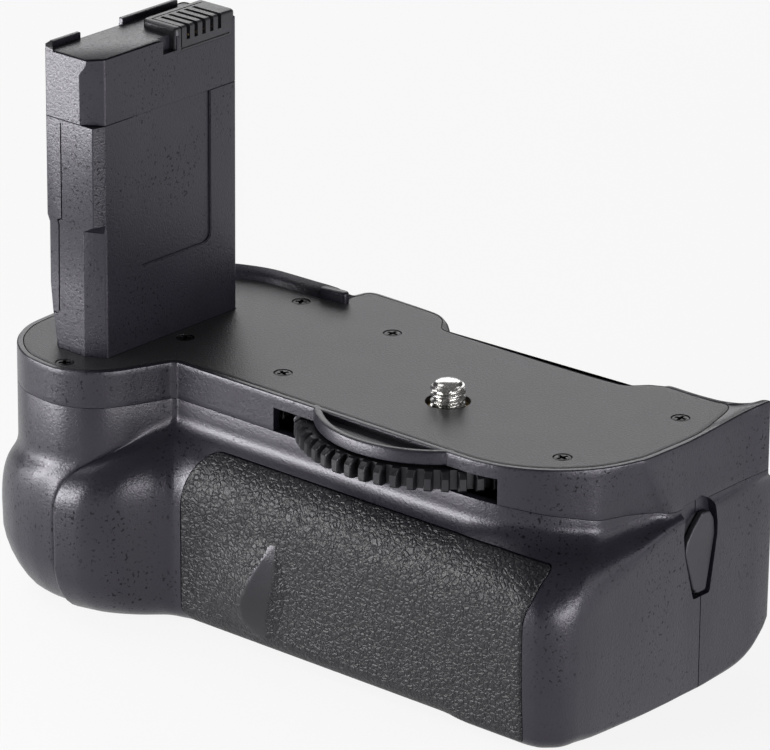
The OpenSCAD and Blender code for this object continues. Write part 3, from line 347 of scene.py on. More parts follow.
def seat_edges(stations, run):
    """Outer edge, its outward direction, and inner edge of the rim round the seat plate."""
    seat = run[:, 0:2]
    out = outward(seat)
    inner = stations[:, 0:2] - stations[:, 8:9] * out[::STEPS]
    for (x, y), edge in RAMP_EDGE.items():
        inner[np.argmin(np.hypot(stations[:, 0] - x, stations[:, 1] - y))] = edge
    return seat, out, smooth_run(inner, STEPS)


def slope_out(u):
    return 3 * u**2 - 2 * u**3


def slope_down(u):
    return 3 * (1 - u)**2 * u * 0.35 + 3 * (1 - u) * u**2 * 0.2 + u**3


def lower_housing(run):
    """Bowl of the front and rear shells together."""
    seat, body = run[:, 12:14], run[:, 2:4]
    seam, foot, shoulder = run[:, 4], run[:, 5], run[:, 6]
    height, reach, flat = run[:, 9], run[:, 10:11], run[:, 11]
    out = outward(seat)

    def slope(seat, body, u):
        rise = foot + (shoulder - foot) * slope_down(u)
        return np.column_stack([seat + (body - seat) * slope_out(u), rise])

    def base(body, angle, rise):
        c = max(math.cos(math.radians(angle)), 0.0) ** flat
        q = math.sin(math.radians(angle)) ** flat
        return np.column_stack([body + reach * (1 - c)[:, None] * inward(body, BASE_LOW, BASE_HIGH),
                                BASE + rise + height * (1 - q)])

    seat_in = seat - SHELL_WALL * out
    body_in = body + SHELL_WALL * inward(body, WALL_LOW, WALL_HIGH)
    rings = [base(body_in, a, SHELL_WALL) for a in (90, 60, 30, 0)]
    rings += [slope(seat_in, body_in, u) for u in (0.8, 0.6, 0.4, 0.2, 0)]
    rings += [np.column_stack([seat_in, seam - SEAM_GAP]),
              np.column_stack([seat - 0.08 * out, seam - SEAM_GAP]),
              np.column_stack([seat - 0.02 * out, seam - 0.05]),
              np.column_stack([seat, np.maximum(seam - 0.12, foot + 0.03)])]
    rings += [slope(seat, body, u) for u in np.linspace(0, 1, 21)]
    rings += [base(body, a, 0) for a in np.linspace(0, 90, 10)[1:]]
    return loft("lower", rings)


def port_tool():
    """Cutter for the recess of the port cover."""
    return slab("port", fillet(PORT), PORT_FLOOR, PORT_CLEAR, axes=TO_END)


def top_cover(seat, out, inner, run):
    """Skirt, rim and roof round the seat, with the hood over the wheel."""
    height, seam, width, low = run[:, 7], run[:, 4], run[:, 8], run[:, 12:14]
    low_out = outward(low)
    span = np.linalg.norm(inner - seat, axis=1, keepdims=True)
    way = (inner - seat) / span
    curve = 0.5 + 1.4 * np.clip((width - 2.2) / 2, 0, 1)
    ledge, inner_round, outer_round, wall = -1.05, 0.12, 0.34, 1.7

    def ring(xy, z):
        return np.column_stack([xy, np.broadcast_to(z, len(xy))])

    rings = [ring(inner + 2 * way, ledge), ring(inner, ledge), ring(inner, -0.16),
             ring(inner - inner_round * way, 0)]
    for t in np.linspace(0, 1, 11)[1:]:
        rise = np.where(height > 0, t**curve, t)
        reach = inner_round + t * (span - inner_round - outer_round)
        rings.append(ring(inner - way * reach, height * rise))
    rings += [ring(seat + 0.2 * way, height - 0.03), ring(seat + 0.06 * way, height - 0.13),
              ring(seat, height - outer_round)]
    for t in np.linspace(0, 1, 9)[1:]:
        rings.append(ring(seat * (1 - t) + low * t, (height - outer_round) * (1 - t) + (seam + 0.12) * t))
    rings += [ring(low - 0.02 * low_out, seam + 0.05), ring(low - 0.08 * low_out, seam + SEAM_GAP),
              ring(low - wall * low_out, seam + SEAM_GAP), ring(seat - wall * out, ROOF)]
    cover = loft("top_cover", rings)
    rim_plan = fillet([(-51, 23.1, 0), (-45.4, 23.7, 0.8), (-45.2, 25.5, 0.9), (-51, 25.1, 0)])
    carve(cover, [hood(), slab("rim_end", rim_plan, 0.02, 2.15, 0.5)], "UNION")
    wheel_gap = block((-25, -21, -12), (26, -15, ROOF))
    carve(cover, [wheel_gap, slab("hole", circle(5.35), -4, 1)])
    return carve(cover, [port_tool()])


def hood():
    """Thin arc wall over the wheel, round a sunken floor."""
    centre, r = -3.1, 21.7
    profile = [(10, ROOF + 0.05), (r - 0.1, ROOF + 0.05), (r, ROOF + 0.2), (r, -0.4), (r - 0.1, -0.15),
               (r - 0.35, -0.02), (r - 0.75, 0), (r - 1.2, -0.02), (r - 1.42, -0.15), (r - 1.5, -0.4),
               (r - 1.5, -1.15), (r - 1.7, -1.32), (10, -1.35)]
    half = math.asin((SEAT_FRONT + 2.2 - centre) / -r)
    angles = np.linspace(math.pi + half, 2 * math.pi - half, 60)
    rings = [np.array([(q * math.cos(a), centre + q * math.sin(a), z) for q, z in profile])
             for a in angles]
    return loft("hood", rings)


def top_plate(inner, way):
    """Plate let into the seat, with holes for the screws, the stud and the plug."""
    section = ((0.03, -1.0), (0.03, -0.14), (0.07, -0.04), (0.16, 0), (0.9, 0))
    plate = loft("top_plate", [level(inner + inset * way, z) for inset, z in section])
    holes = [slab("hole", circle(1.75, 28, p), -0.78, 1) for p in SCREWS]
    plug_hole = grown(plug_outline(PLUG_CUT, 0, PLUG_FOOT, PLUG_BACK), 0.16)
    holes += [slab("hole", circle(4.1), -2, 1), slab("hole", plug_hole, -2, 1)]
    return carve(plate, holes)


# Grip rubber, laid on the housing's skin: its right border by height, how far its top dips along X,
# and the finger rest's ridge, foot and rise by height

RUBBER_LEFT, RUBBER_REACH, RUBBER_TOP, RUBBER_BASE = -41.65, 39, -13.45, -46.4
RUBBER_RIGHT = np.array(((-46.4, 38.4), (-38, 38.0), (-28.7, 37.85), (-24, 37.95), (-21.2, 38.4),
                         (-19.1, 38.95), (-17.2, 39.2), (-13, 39.1)))
RUBBER_DIP = np.array(((20, 0), (28.8, 0.35), (34.7, 0.95), (39.2, 1.7)))
DIP_FOOT = 24
REST = np.array(((-44.4, -23.0, -19.6, 0.0), (-43, -24.2, -18.6, 0.6), (-41, -25.6, -17.6, 1.5),
                 (-38.5, -25.6, -16.8, 2.2), (-36, -24.8, -16.2, 2.4), (-33.5, -23.8, -15.9, 2.2),
                 (-31, -22.6, -16.2, 1.8), (-28.4, -21.2, -16.9, 1.2), (-25.8, -20.0, -18.0, 0.3),
                 (-25.0, -19.6, -18.4, 0.0)))
REST_RUN = 15


def rest_lines(z):
    return (np.interp(z, REST[:, 0], REST[:, k]) for k in (1, 2, 3))


def finger_rest(x, z):
    """Rise of the rest: a long slope up to a ridge, then a short one down."""
    ridge, foot, rise = rest_lines(z)
    up = np.clip((x - ridge + REST_RUN) / REST_RUN, 0, 1)
    down = np.clip((foot - x) / np.maximum(foot - ridge, 0.5), 0, 1)
    return rise * np.minimum(up**1.5, down**1.2)


def on_facet(x, z):
    """True on the smooth short slope of the rest, which gets a darker material as painted shade."""
    ridge, foot, rise = rest_lines(z)
    return (x > ridge) & (x < ridge + 0.6 * (foot - ridge)) & (rise > 0.25)


def cell_noise(points, size, seed):
    """Distance to the nearest of the seeded points scattered one to a cell, in cells."""
    rng = np.random.default_rng(seed)
    table = rng.random((64, 64, 2))
    grid = points / size
    base = np.floor(grid).astype(int)
    best = np.full(grid.shape[:-1], 9.0)
    for dx in (-1, 0, 1):
        for dy in (-1, 0, 1):
            cell = base + (dx, dy)
            spot = cell + table[cell[..., 0] % 64, cell[..., 1] % 64]
            best = np.minimum(best, np.linalg.norm(grid - spot, axis=-1))
    return best


def rubber_panel(name, skin, grow, pitch, front, back, grain):
    """Panel over the housing's front: front gives its height by distance from the border."""
    left, top, foot = RUBBER_LEFT - grow, RUBBER_TOP + grow, RUBBER_BASE - grow
    edge = np.array((0, 0.08, 0.2, 0.36, 0.6))
    wide, tall, short = 6.4 + grow, 10.6 + grow, 1.5 + grow

    def spread(a, b):
        inner = np.linspace(a + 1, b - 1, int((b - a - 2) / pitch) + 1)
        return np.concatenate([a + edge, inner, (b - edge)[::-1]])

    def cut(z, across, along, end):
        """How far a corner with its end at that height takes the border in at height z."""
        d = np.clip(1 - abs(end - z) / along, 0, 1)
        return across * (1 - math.sqrt(max(1 - d * d, 0)))

    u = (spread(left, RUBBER_REACH) - left) / (RUBBER_REACH - left)
    rows = []
    for z in spread(foot, top)[::-1]:
        x0 = left + cut(z, wide, tall, top) + cut(z, 2.5, 3.5, foot)
        x1 = np.interp(z, RUBBER_RIGHT[:, 0], RUBBER_RIGHT[:, 1]) + grow
        x1 = x1 - cut(z, short, short, top) - cut(z, short, short, foot)
        rows.append(np.column_stack([x0 + u * (x1 - x0), np.full(len(u), z)]))
    flat = np.array(rows)
    x, z = flat[..., 0], flat[..., 1]
    border = np.minimum.reduce([x - x[:, :1], x[:, -1:] - x, top - z, z - foot])
    fade = np.clip((z + DIP_FOOT) / (DIP_FOOT + top), 0, 1)
    z -= np.interp(x, RUBBER_DIP[:, 0], RUBBER_DIP[:, 1]) * fade
    hits = np.zeros((*x.shape, 3))
    normals = np.zeros_like(hits)
    for i in np.ndindex(x.shape):
        spot, normal, _, _ = skin.ray_cast(Vector((x[i] * MM, -0.08, z[i] * MM)), Vector((0, 1, 0)))
        hits[i], normals[i] = np.array(spot) / MM, normal
    lift = front(border)
    if grain:
        fine = cell_noise(flat, 1.0, 5) * 0.7 + cell_noise(flat + 31, 0.62, 11) * 0.3
        pebbles = grain * fine * np.clip(border / 0.8, 0, 1) * ~on_facet(x, z)
        lift = lift + finger_rest(x, z) * np.clip(border, 0, 1) - pebbles
    outer = hits + normals * lift[..., None]
    inner = hits - normals * back
    h, w = x.shape
    grid = np.arange(h * w).reshape(h, w)
    a, b = grid[:-1, :-1].ravel(), grid[:-1, 1:].ravel()
    c, d = grid[1:, 1:].ravel(), grid[1:, :-1].ravel()
    faces = np.column_stack([a, d, c, b]).tolist() + (np.column_stack([a, b, c, d]) + h * w).tolist()
    rim = np.concatenate([grid[0, :-1], grid[:-1, -1], grid[-1, :0:-1], grid[:0:-1, 0]])
    nxt = np.roll(rim, -1)
    faces += np.column_stack([rim, nxt, nxt + h * w, rim + h * w]).tolist()
    return new_object(name, np.concatenate([outer.reshape(-1, 3), inner.reshape(-1, 3)]), faces)


# Plug in the shape of a battery: its front corner's cut, the other corner's cut at the foot,
# and how far its lower front is set back

PLUG_CUT, PLUG_FOOT, PLUG_BACK = 3.85, 1.7, 0.6
HEAD_CUT, STEP_LOW, STEP_HIGH = 0.75, 23.7, 25.3


def plug_outline(cut, inset=0.0, foot=0.0, back=0.0):
    """Plan of the plug: cut is how far its front corner is taken off along X, foot the other one."""
    x0, x1, y0, y1 = PLUG_X0 + inset, PLUG_X1 - inset, PLUG_Y0 + inset + back, PLUG_Y1 - inset
    return fillet([(x0, y0 + 0.8 + foot, 0.4), (x0 + 0.8 + foot, y0, 0.4), (x1 - cut, y0, 0.35),
                   (x1, y0 + 2.5 - back, 0.7), (x1, y1, 0.5), (x0, y1, 0.8)], 5)


def panel_outline(top_round):
    """Sunken panel on the plug's wide side, open to the top."""
    return fillet([(-17.8, 17.1, 0.4), (-15.9, 15.2, 0.4), (2, 15.2, 1.8), (2, 50, top_round),
                   (-17.8, 50, top_round)])


def plug_case():
    """Case with its lower front set back under a sloping step."""
    rings = [level(plug_outline(PLUG_CUT, 0, foot, PLUG_BACK), z) for z, foot in (
        (-1.1, PLUG_FOOT), (0, PLUG_FOOT), (3, 1.1), (7, 0.5), (12, 0), (STEP_LOW, 0))]
    rings += [level(plug_outline(HEAD_CUT, inset), z) for z, inset in (
        (STEP_HIGH, 0), (CASE_TOP - 0.12, 0), (CASE_TOP - 0.04, 0.06))]
    case = loft("plug_case", rings)
    carve(case, [slab("rim", grown(panel_outline(0.1), 0.22), PLUG_X1 - 0.1, PLUG_X1 + 2, axes=TO_END)])
    carve(case, [slab("panel", panel_outline(0), PLUG_X1 - 0.4, PLUG_X1 + 2, axes=TO_END)])
    upper = [(-67.55, 25.0, 0), (-67.25, 25.0, 0), (-67.25, 43.3, 0.14), (-67.55, 43.3, 0.14)]
    carve(case, [slab("groove", fillet(upper, 3), 27.3, 30, axes=TO_FRONT)])
    lower = [(-74, 6.5, 0), (-68.7, 6.5, 0.9), (-68.5, 24.5, 0), (-67.25, 25.3, 0), (-67.55, 25.3, 0),
             (-68.8, 24.7, 0), (-69, 6.8, 0.6), (-74, 6.8, 0)]
    return carve(case, [slab("groove", fillet(lower, 3), 26.8, 30, axes=TO_FRONT)])


def plug_cap():
    """Cap with a groove round its top, two rim walls and the cut-out for the contact block."""
    cut, top_cut, top = PLUG_CUT, 2.0, PLUG_TOP
    levels = ((CASE_TOP - 0.02, cut, 0.1), (CASE_TOP + 0.08, cut, 0), (53.3, cut, 0), (55.3, 2.2, 0),
              (top - 0.12, top_cut, 0), (top - 0.02, top_cut, 0.08), (top - 0.45, top_cut, 0.12),
              (top - 0.45, top_cut, 0.5), (top - 0.06, top_cut, 0.56), (top, top_cut, 0.66))
    cap = loft("plug_cap", [level(plug_outline(cut, inset), z) for z, cut, inset in levels])
    x0, y0 = PLUG_X0, PLUG_Y0
    out, back, gap_front, gap_back = x0 + 0.02, x0 + 1.0, -18.9, -8.1
    front_wall = [(out, y0 + 0.82, 0.3), (x0 + 0.82, y0 + 0.02, 0.3), (x0 + 2.6, y0 + 0.02, 0),
                  (back, y0 + 1.6, 0.3), (back, gap_front, 0.15), (out, gap_front, 0.15)]
    rear_wall = [(out, gap_back, 0.15), (back, gap_back, 0.15), (back, 6.4, 0.15), (out, 6.4, 0.15)]
    walls = [slab("rim", fillet(plan, 3), top - 1.5, top + 1.05, 0.15) for plan in (front_wall, rear_wall)]
    carve(cap, walls, "UNION")

    def wedge(y, left, right):
        """Section of the tool that slopes the front wall off."""
        return np.array(((x0 - 1, y, top + left), (x0 - 1, y, top + 3), (x0 + 5, y, top + 3),
                         (x0 + 5, y, top + right)))

    sections = [wedge(y0 - 1, 0.02, 0.02), wedge(y0 + 0.3, 0.7, 0.02), wedge(y0 + 2.2, 1.06, 1.72)]
    carve(cap, [loft("slope", sections)])
    carve(cap, [slab("pocket", BLOCK_PLAN, 53.1, 60)])
    carve(cap, [block((x0 - 1, gap_front, top - 0.75), (back, gap_back, 60))])
    return carve(cap, [block((PLUG_X1 - 1.6, -10.2, 53.6), (PLUG_X1 + 2, -6.6, 60))])


BLOCK_X, BLOCK_Y, BLOCK_TOP = (-67.5, -58.8), (-6.9, 8.9), 57.7
BLOCK_PLAN = fillet([(BLOCK_X[0], BLOCK_Y[0], 1.5), (BLOCK_X[1], BLOCK_Y[0], 0.8),
                     (BLOCK_X[1], BLOCK_Y[1], 1.0), (BLOCK_X[0], BLOCK_Y[1], 0.8)])
SLOTS, SLOT_HALF = [-3.6 + 2.06 * i for i in range(5)], 0.45


def contact_block():
    """Block with slots over its edge for the contacts, a groove round them and a panel line."""
    x0, x1, y0, y1, top = *BLOCK_X, *BLOCK_Y, BLOCK_TOP
    body = slab("contact_block", grown(BLOCK_PLAN, -0.02), 53.14, top, 0.55)
    for back, front, depth in ((x1 - 6.6, x1 - 1.2, 1.1), (x1 - 1.5, x1 + 1, 2.7)):
        carve(body, [block((back, y - SLOT_HALF, top - depth), (front, y + SLOT_HALF, top + 1))
                     for y in SLOTS])
    carve(body, [block((x0 + 1.3, y0 + 1.35, top - 0.4), (x1 + 1, y0 + 1.65, top + 1))])
    carve(body, [block((x0 + 1.3, y0 + 1.35, top - 0.41), (x0 + 1.6, y1 - 1.2, top + 1))])
    carve(body, [block((x1 - 0.25, y0 + 1.36, 53.4), (x1 + 1, y0 + 1.64, top - 0.2))])
    return carve(body, [block((x1 - 0.26, y0 + 1.36, 53.5), (x1 + 1, 7.2, 53.78))])


# Camera screw, wheel and small fittings

def thread_radius(phase, crest, root):
    """Sixty-degree thread over one turn, with a flat on the crest and at the root."""
    away = np.abs(phase - 0.5) * 2
    return root + (crest - root) * np.clip((0.86 - away) / 0.64, 0, 1)


def camera_screw():
    """Shank and flange under the plate, then the 1/4 inch thread with its domed end."""
    count, pitch, crest, root = 72, 1.27, 3.175, 2.5
    turn = np.arange(count) / count
    shank = ((2.45, -9.9), (2.45, -7.2), (4.45, -7.2), (4.45, -2.95), (3.1, -2.95), (3.1, -0.62), (2.7, -0.5))
    dome = ((2.62, 3.24), (2.55, 3.4), (2.35, 3.62), (2.0, 3.82), (1.5, 3.96), (0.8, 4.04))
    rings = [level(circle(r, count), z) for r, z in shank]
    for z in np.arange(-0.4, 3.2, 0.07):
        r = thread_radius((z / pitch - turn) % 1, crest, root)
        r = np.minimum(r, 3.25 - max(0, z - 2.6) * 0.6)
        x, y = r * np.cos(2 * math.pi * turn), r * np.sin(2 * math.pi * turn)
        rings.append(np.column_stack([x, y, np.full(count, z)]))
    rings += [level(circle(r, count), z) for r, z in dome]
    return loft("camera_screw", rings)


def thumb_wheel():
    """Toothed rim, web and hub; a tooth is drawn as share of the pitch and share of its height."""
    teeth, tooth_height = 55, 2.1
    shape = np.array(((0.02, 0), (0.08, 0.86), (0.13, 1), (0.5, 1), (0.55, 0.86), (0.61, 0)))
    a = ((np.arange(teeth)[:, None] + shape[:, 0]) * 2 * math.pi / teeth).ravel()
    tip = np.tile(shape[:, 1], teeth)
    way = np.column_stack([np.cos(a), np.sin(a)])

    def ring(r, z):
        return level(way * np.broadcast_to(r, len(a))[:, None], z)

    def toothed(inset, z):
        return ring(WHEEL_R - tooth_height + (tooth_height - inset) * tip, z)

    z0, z1, rim = WHEEL_FOOT, WHEEL_TOP, WHEEL_R - 2.6
    rings = [toothed(0.8, z0), toothed(0.25, z0 + 0.25), toothed(0, z0 + 0.6), toothed(0, z1 - 1.0),
             toothed(0.25, z1 - 0.65), toothed(1.1, z1)]
    rings += [ring(r, z) for r, z in (
        (rim, z1), (22, z1), (21.8, z1 - 1), (7.7, z1 - 1), (7.5, z1), (4.6, z1),
        (4.6, z0), (7.5, z0), (7.7, z0 + 1), (21.8, z0 + 1), (22, z0), (rim, z0))]
    return loft("thumb_wheel", rings, closed=True)


def cross_outline(reach, arm):
    """Plus sign: three corners, turned four times."""
    corners = np.array(((-reach, -arm), (-arm, -arm), (-arm, -reach)))
    out = []
    for _ in range(4):
        out.append(corners)
        corners = np.column_stack([-corners[:, 1], corners[:, 0]])
    return np.concatenate(out)


def screw_heads(name, places, r, z, flip=False):
    """Cross-head screws of head radius r, let in to z."""
    shank = r * 0.55
    head = lathe("head", [(shank, -3.5), (shank, -0.7), (r, -0.7), (r, -0.22), (r * 0.96, -0.1),
                          (r * 0.82, -0.02), (r * 0.4, 0)], 28)
    carve(head, [slab("cross", cross_outline(r * 0.68, r * 0.2), -0.5, 1)])
    verts = np.array([v.co for v in head.data.vertices]) / MM
    faces = [list(p.vertices) for p in head.data.polygons]
    bpy.data.objects.remove(head)
    if flip:
        verts = verts * (1, -1, -1)
    out = []
    for k, (x, y) in enumerate(places):
        a = 0.5 + 1.1 * k
        spin = np.array(((math.cos(a), -math.sin(a), 0), (math.sin(a), math.cos(a), 0), (0, 0, 1)))
        out.append(new_object("screw", verts @ spin.T + (x, y, z), faces))
    return join(name, out)


# Recess of the port cover and the flap in it, drawn on the end wall
PORT = [(11.1, -17.0, 2.5), (11.6, -12.9, 1.6), (13.4, -11.2, 1.5), (17.0, -10.9, 2), (20.0, -12.6, 2),
        (20.75, -17.0, 3), (20.75, -19.2, 2), (18.95, -29.8, 0.6), (14.3, -29.8, 0.7), (13.7, -28.0, 1.0),
        (11.6, -20.8, 3)]
FLAP = [(16.9, -14.2, 0.5), (14.6, -16.4, 1), (12.9, -18.6, 1.5), (12.4, -20.8, 3), (14.9, -28.2, 0.9),
        (16.2, -29.35, 0.7), (18.5, -29.3, 0.7), (20.62, -19.1, 2), (20.3, -16.2, 2), (19.1, -14.4, 0.9)]
FLAP_BACK, FLAP_FACE, FLAP_HINGE = 43.35, BODY_END - 0.2, (43.9, 16.6, -28.6)


def port_cover():
    """Flap with the bead that it turns on."""
    flap = slab("port_cover", fillet(FLAP), FLAP_BACK, FLAP_FACE, 0.35, 0.1, axes=TO_END)
    section = [(0.4, -1.2), (0.58, -1.05), (0.58, 1.05), (0.4, 1.2)]
    return carve(flap, [lathe("bead", section, 20, TO_FRONT, FLAP_HINGE)], "UNION")


def release_collar():
    profile = [(5.3, -7), (1.5, -7), (1.5, -8.2), (7.9, -8.2), (7.9, 0), (8.9, 0.02), (9.15, 0.2),
               (9.15, 0.7), (8.95, 0.95), (8.6, 1.0), (6.7, 1.0), (6.6, 1.1), (6.6, 2.85), (7.1, 2.9),
               (7.28, 3.05), (7.2, 3.3), (6.9, 3.4), (5.6, 3.4), (5.35, 3.3), (5.3, 3.1)]
    return lathe("shutter_collar", profile, axes=TO_HAND, at=RELEASE, closed=True)


def release_lock():
    """Knurled ring with a lever, round the button."""
    turn = np.arange(96) * 2 * math.pi / 96
    lever = np.exp(-((turn - math.pi / 2) / 0.17) ** 2) * 3.0
    knurl = 0.16 * (np.cos(turn * 48) > 0) * (np.abs(turn - math.pi / 2) > 0.5)

    def ring(r, z, swell):
        q = r + swell * (lever - knurl)
        return level(np.column_stack([q * np.cos(turn), q * np.sin(turn)]), z, TO_HAND, RELEASE)

    section = ((6.9, 1.3, 0), (8.35, 1.3, 1), (8.6, 1.5, 1), (8.6, 2.35, 1), (8.35, 2.6, 1), (7.1, 2.6, 0),
               (6.9, 2.5, 0))
    return loft("shutter_lock", [ring(*row) for row in section], closed=True)


def release_button():
    profile = [(1.6, -3.4), (1.6, -2.6), (4.85, -2.6), (4.88, 2.75), (4.7, 3.1), (4.3, 3.32), (3.6, 3.4),
               (2.6, 3.33), (1.4, 3.25), (0.4, 3.22)]
    return lathe("shutter_button", profile, axes=TO_HAND, at=RELEASE)


# Looks

def tree(name):
    look = bpy.data.materials.new(name)
    look.use_nodes = True
    nodes, links = look.node_tree.nodes, look.node_tree.links
    shader = nodes["Principled BSDF"]
    place = nodes.new("ShaderNodeTexCoord").outputs["Object"]
    return look, nodes, links, shader, place


def noise(nodes, links, place, scale, detail=2.0, rough=0.5):
    node = nodes.new("ShaderNodeTexNoise")
    node.inputs["Scale"].default_value = scale
    node.inputs["Detail"].default_value = detail
    node.inputs["Roughness"].default_value = rough
    links.new(place, node.inputs["Vector"])
    return node.outputs["Fac"]


def ramp(nodes, links, fac, *stops):
    node = nodes.new("ShaderNodeValToRGB")
    while len(node.color_ramp.elements) < len(stops):
        node.color_ramp.elements.new(0.5)
    for element, (at, value) in zip(node.color_ramp.elements, stops):
        element.position = at
        element.color = (*value, 1) if isinstance(value, tuple) else (value, value, value, 1)
    links.new(fac, node.inputs["Fac"])
    return node.outputs["Color"]


def bump(nodes, links, height, distance, strength=1.0, under=None):
    node = nodes.new("ShaderNodeBump")
    node.inputs["Strength"].default_value = strength
    node.inputs["Distance"].default_value = distance * MM
    links.new(height, node.inputs["Height"])
    if under:
        links.new(under, node.inputs["Normal"])
    return node.outputs["Normal"]


def mix(nodes, links, kind, fac, a, b):
    node = nodes.new("ShaderNodeMix")
    node.data_type, node.blend_type = "RGBA", kind
    if isinstance(fac, float):
        node.inputs["Factor"].default_value = fac
    else:
        links.new(fac, node.inputs["Factor"])
    for value, socket in ((a, node.inputs[6]), (b, node.inputs[7])):
        if isinstance(value, tuple):
            socket.default_value = (*value, 1)
        else:
            links.new(value, socket)
    return node.outputs[2]


def plastic(name, dark, light, rough, grain, speck=0.0, size=2600.0):
    """Moulded plastic: two close colours in clouds, a spark-eroded grain, and patches of small painted dark
    specks, darker in colour and less specular, standing in for the grain's dark reflections.
    """
    look, nodes, links, shader, place = tree(name)
    colour = ramp(nodes, links, noise(nodes, links, place, 90, 4), (0.35, dark), (0.7, light))
    fine = noise(nodes, links, place, size, 2, 0.6)
    if speck:
        # Painted reflection: small dark specks in random patches, with darker colour and less specular, paint
        # the grain's dark reflections
        painted_dark_specks = ramp(nodes, links, noise(nodes, links, place, 1700, 1, 0.4), (0.63, 0.0), (0.70, 1.0))
        where = ramp(nodes, links, noise(nodes, links, place, 70, 2), (0.42, 0.15), (0.62, 1.0))
        painted_dark_specks = mix(nodes, links, "MULTIPLY", 1.0, painted_dark_specks, where)
        colour = mix(nodes, links, "MIX", painted_dark_specks, colour, tuple(c * (1 - speck) for c in dark))
        shine = ramp(nodes, links, painted_dark_specks, (0.0, 0.5), (1.0, 0.5 - 0.4 * speck))
        links.new(shine, shader.inputs["Specular IOR Level"])
    links.new(colour, shader.inputs["Base Color"])
    shader.inputs["Specular Tint"].default_value = (0.95, 0.92, 1.0, 1)
    links.new(ramp(nodes, links, fine, (0.3, rough - 0.06), (0.75, rough + 0.08)), shader.inputs["Roughness"])
    coarse = bump(nodes, links, noise(nodes, links, place, size * 0.5, 1, 0.4), grain * 0.4)
    links.new(bump(nodes, links, fine, grain, 1.0, coarse), shader.inputs["Normal"])
    return look


def leather(name, dark, light):
    """Grained rubber: bent cells, with painted shade darkening the valleys between them."""
    look, nodes, links, shader, place = tree(name)
    bend = nodes.new("ShaderNodeTexNoise")
    bend.inputs["Scale"].default_value = 700
    links.new(place, bend.inputs["Vector"])
    shift = nodes.new("ShaderNodeMixRGB")
    shift.blend_type = "LINEAR_LIGHT"
    shift.inputs["Fac"].default_value = 0.0009
    links.new(place, shift.inputs["Color1"])
    links.new(bend.outputs["Color"], shift.inputs["Color2"])
    cells = nodes.new("ShaderNodeTexVoronoi")
    cells.feature = "DISTANCE_TO_EDGE"
    cells.inputs["Scale"].default_value = 950
    links.new(shift.outputs["Color"], cells.inputs["Vector"])
    height = ramp(nodes, links, cells.outputs["Distance"], (0.0, 0.0), (0.28, 1.0))
    fine = noise(nodes, links, place, 4200, 2)
    shader.inputs["Specular IOR Level"].default_value = 0.3
    # Painted shade: the colour goes dark towards the valleys between the cells
    colour = ramp(nodes, links, cells.outputs["Distance"], (0.0, dark), (0.2, light))
    links.new(colour, shader.inputs["Base Color"])
    links.new(ramp(nodes, links, fine, (0.3, 0.38), (0.7, 0.48)), shader.inputs["Roughness"])
    rough = bump(nodes, links, fine, 0.03)
    links.new(bump(nodes, links, height, 0.10, 1.0, rough), shader.inputs["Normal"])
    return look


def metal(name, colour, rough):
    look, nodes, links, shader, place = tree(name)
    shader.inputs["Metallic"].default_value = 1.0
    dull = tuple(c * 0.82 for c in colour)
    cloud = ramp(nodes, links, noise(nodes, links, place, 350, 4), (0.35, dull), (0.65, colour))
    links.new(cloud, shader.inputs["Base Color"])
    fine = noise(nodes, links, place, 3000, 2)
    links.new(ramp(nodes, links, fine, (0.3, rough - 0.06), (0.7, rough + 0.1)), shader.inputs["Roughness"])
    links.new(bump(nodes, links, fine, 0.012), shader.inputs["Normal"])
    return look


# The last number of the moulded and satin plastics sets their painted dark reflection specks
LOOKS = {
    "moulded": plastic("moulded_black", (0.010, 0.0094, 0.0145), (0.014, 0.0132, 0.0195), 0.33, 0.04, 0.75),
    "plate": plastic("plate_grey", (0.030, 0.0295, 0.031), (0.038, 0.0375, 0.039), 0.42, 0.05, 0.0, 3200.0),
    # The rubber's first colour is painted shade for the grain's valleys
    "rubber": leather("grip_leather", (0.004, 0.004, 0.0055), (0.011, 0.0105, 0.014)),
    "satin": plastic("satin_black", (0.018, 0.018, 0.021), (0.024, 0.024, 0.028), 0.36, 0.03, 0.2),
    "nickel": metal("nickel_plate", (0.74, 0.73, 0.71), 0.2),
    "brass": metal("gold_brass", (0.78, 0.58, 0.30), 0.28),
    "dark_screw": metal("black_steel", (0.045, 0.045, 0.048), 0.38),
    "cage": plastic("cage_grey", (0.022, 0.022, 0.024), (0.030, 0.030, 0.033), 0.5, 0.03, 0.0),
    "board": plastic("board_green", (0.010, 0.045, 0.018), (0.014, 0.060, 0.024), 0.45, 0.02, 0.0),
}
FLAP_RUBBER = plastic("flap_rubber", (0.016, 0.0155, 0.019), (0.021, 0.0205, 0.025), 0.45, 0.02, 0.0)
# Wheel black is the wheel's own colour, and on the finger rest's short slope it is painted shade
WHEEL_BLACK_AND_FACET_SHADE = plastic("wheel_black_and_facet_shade", (0.006, 0.006, 0.007), (0.009, 0.009, 0.011), 0.36, 0.03, 0.0)


# The object

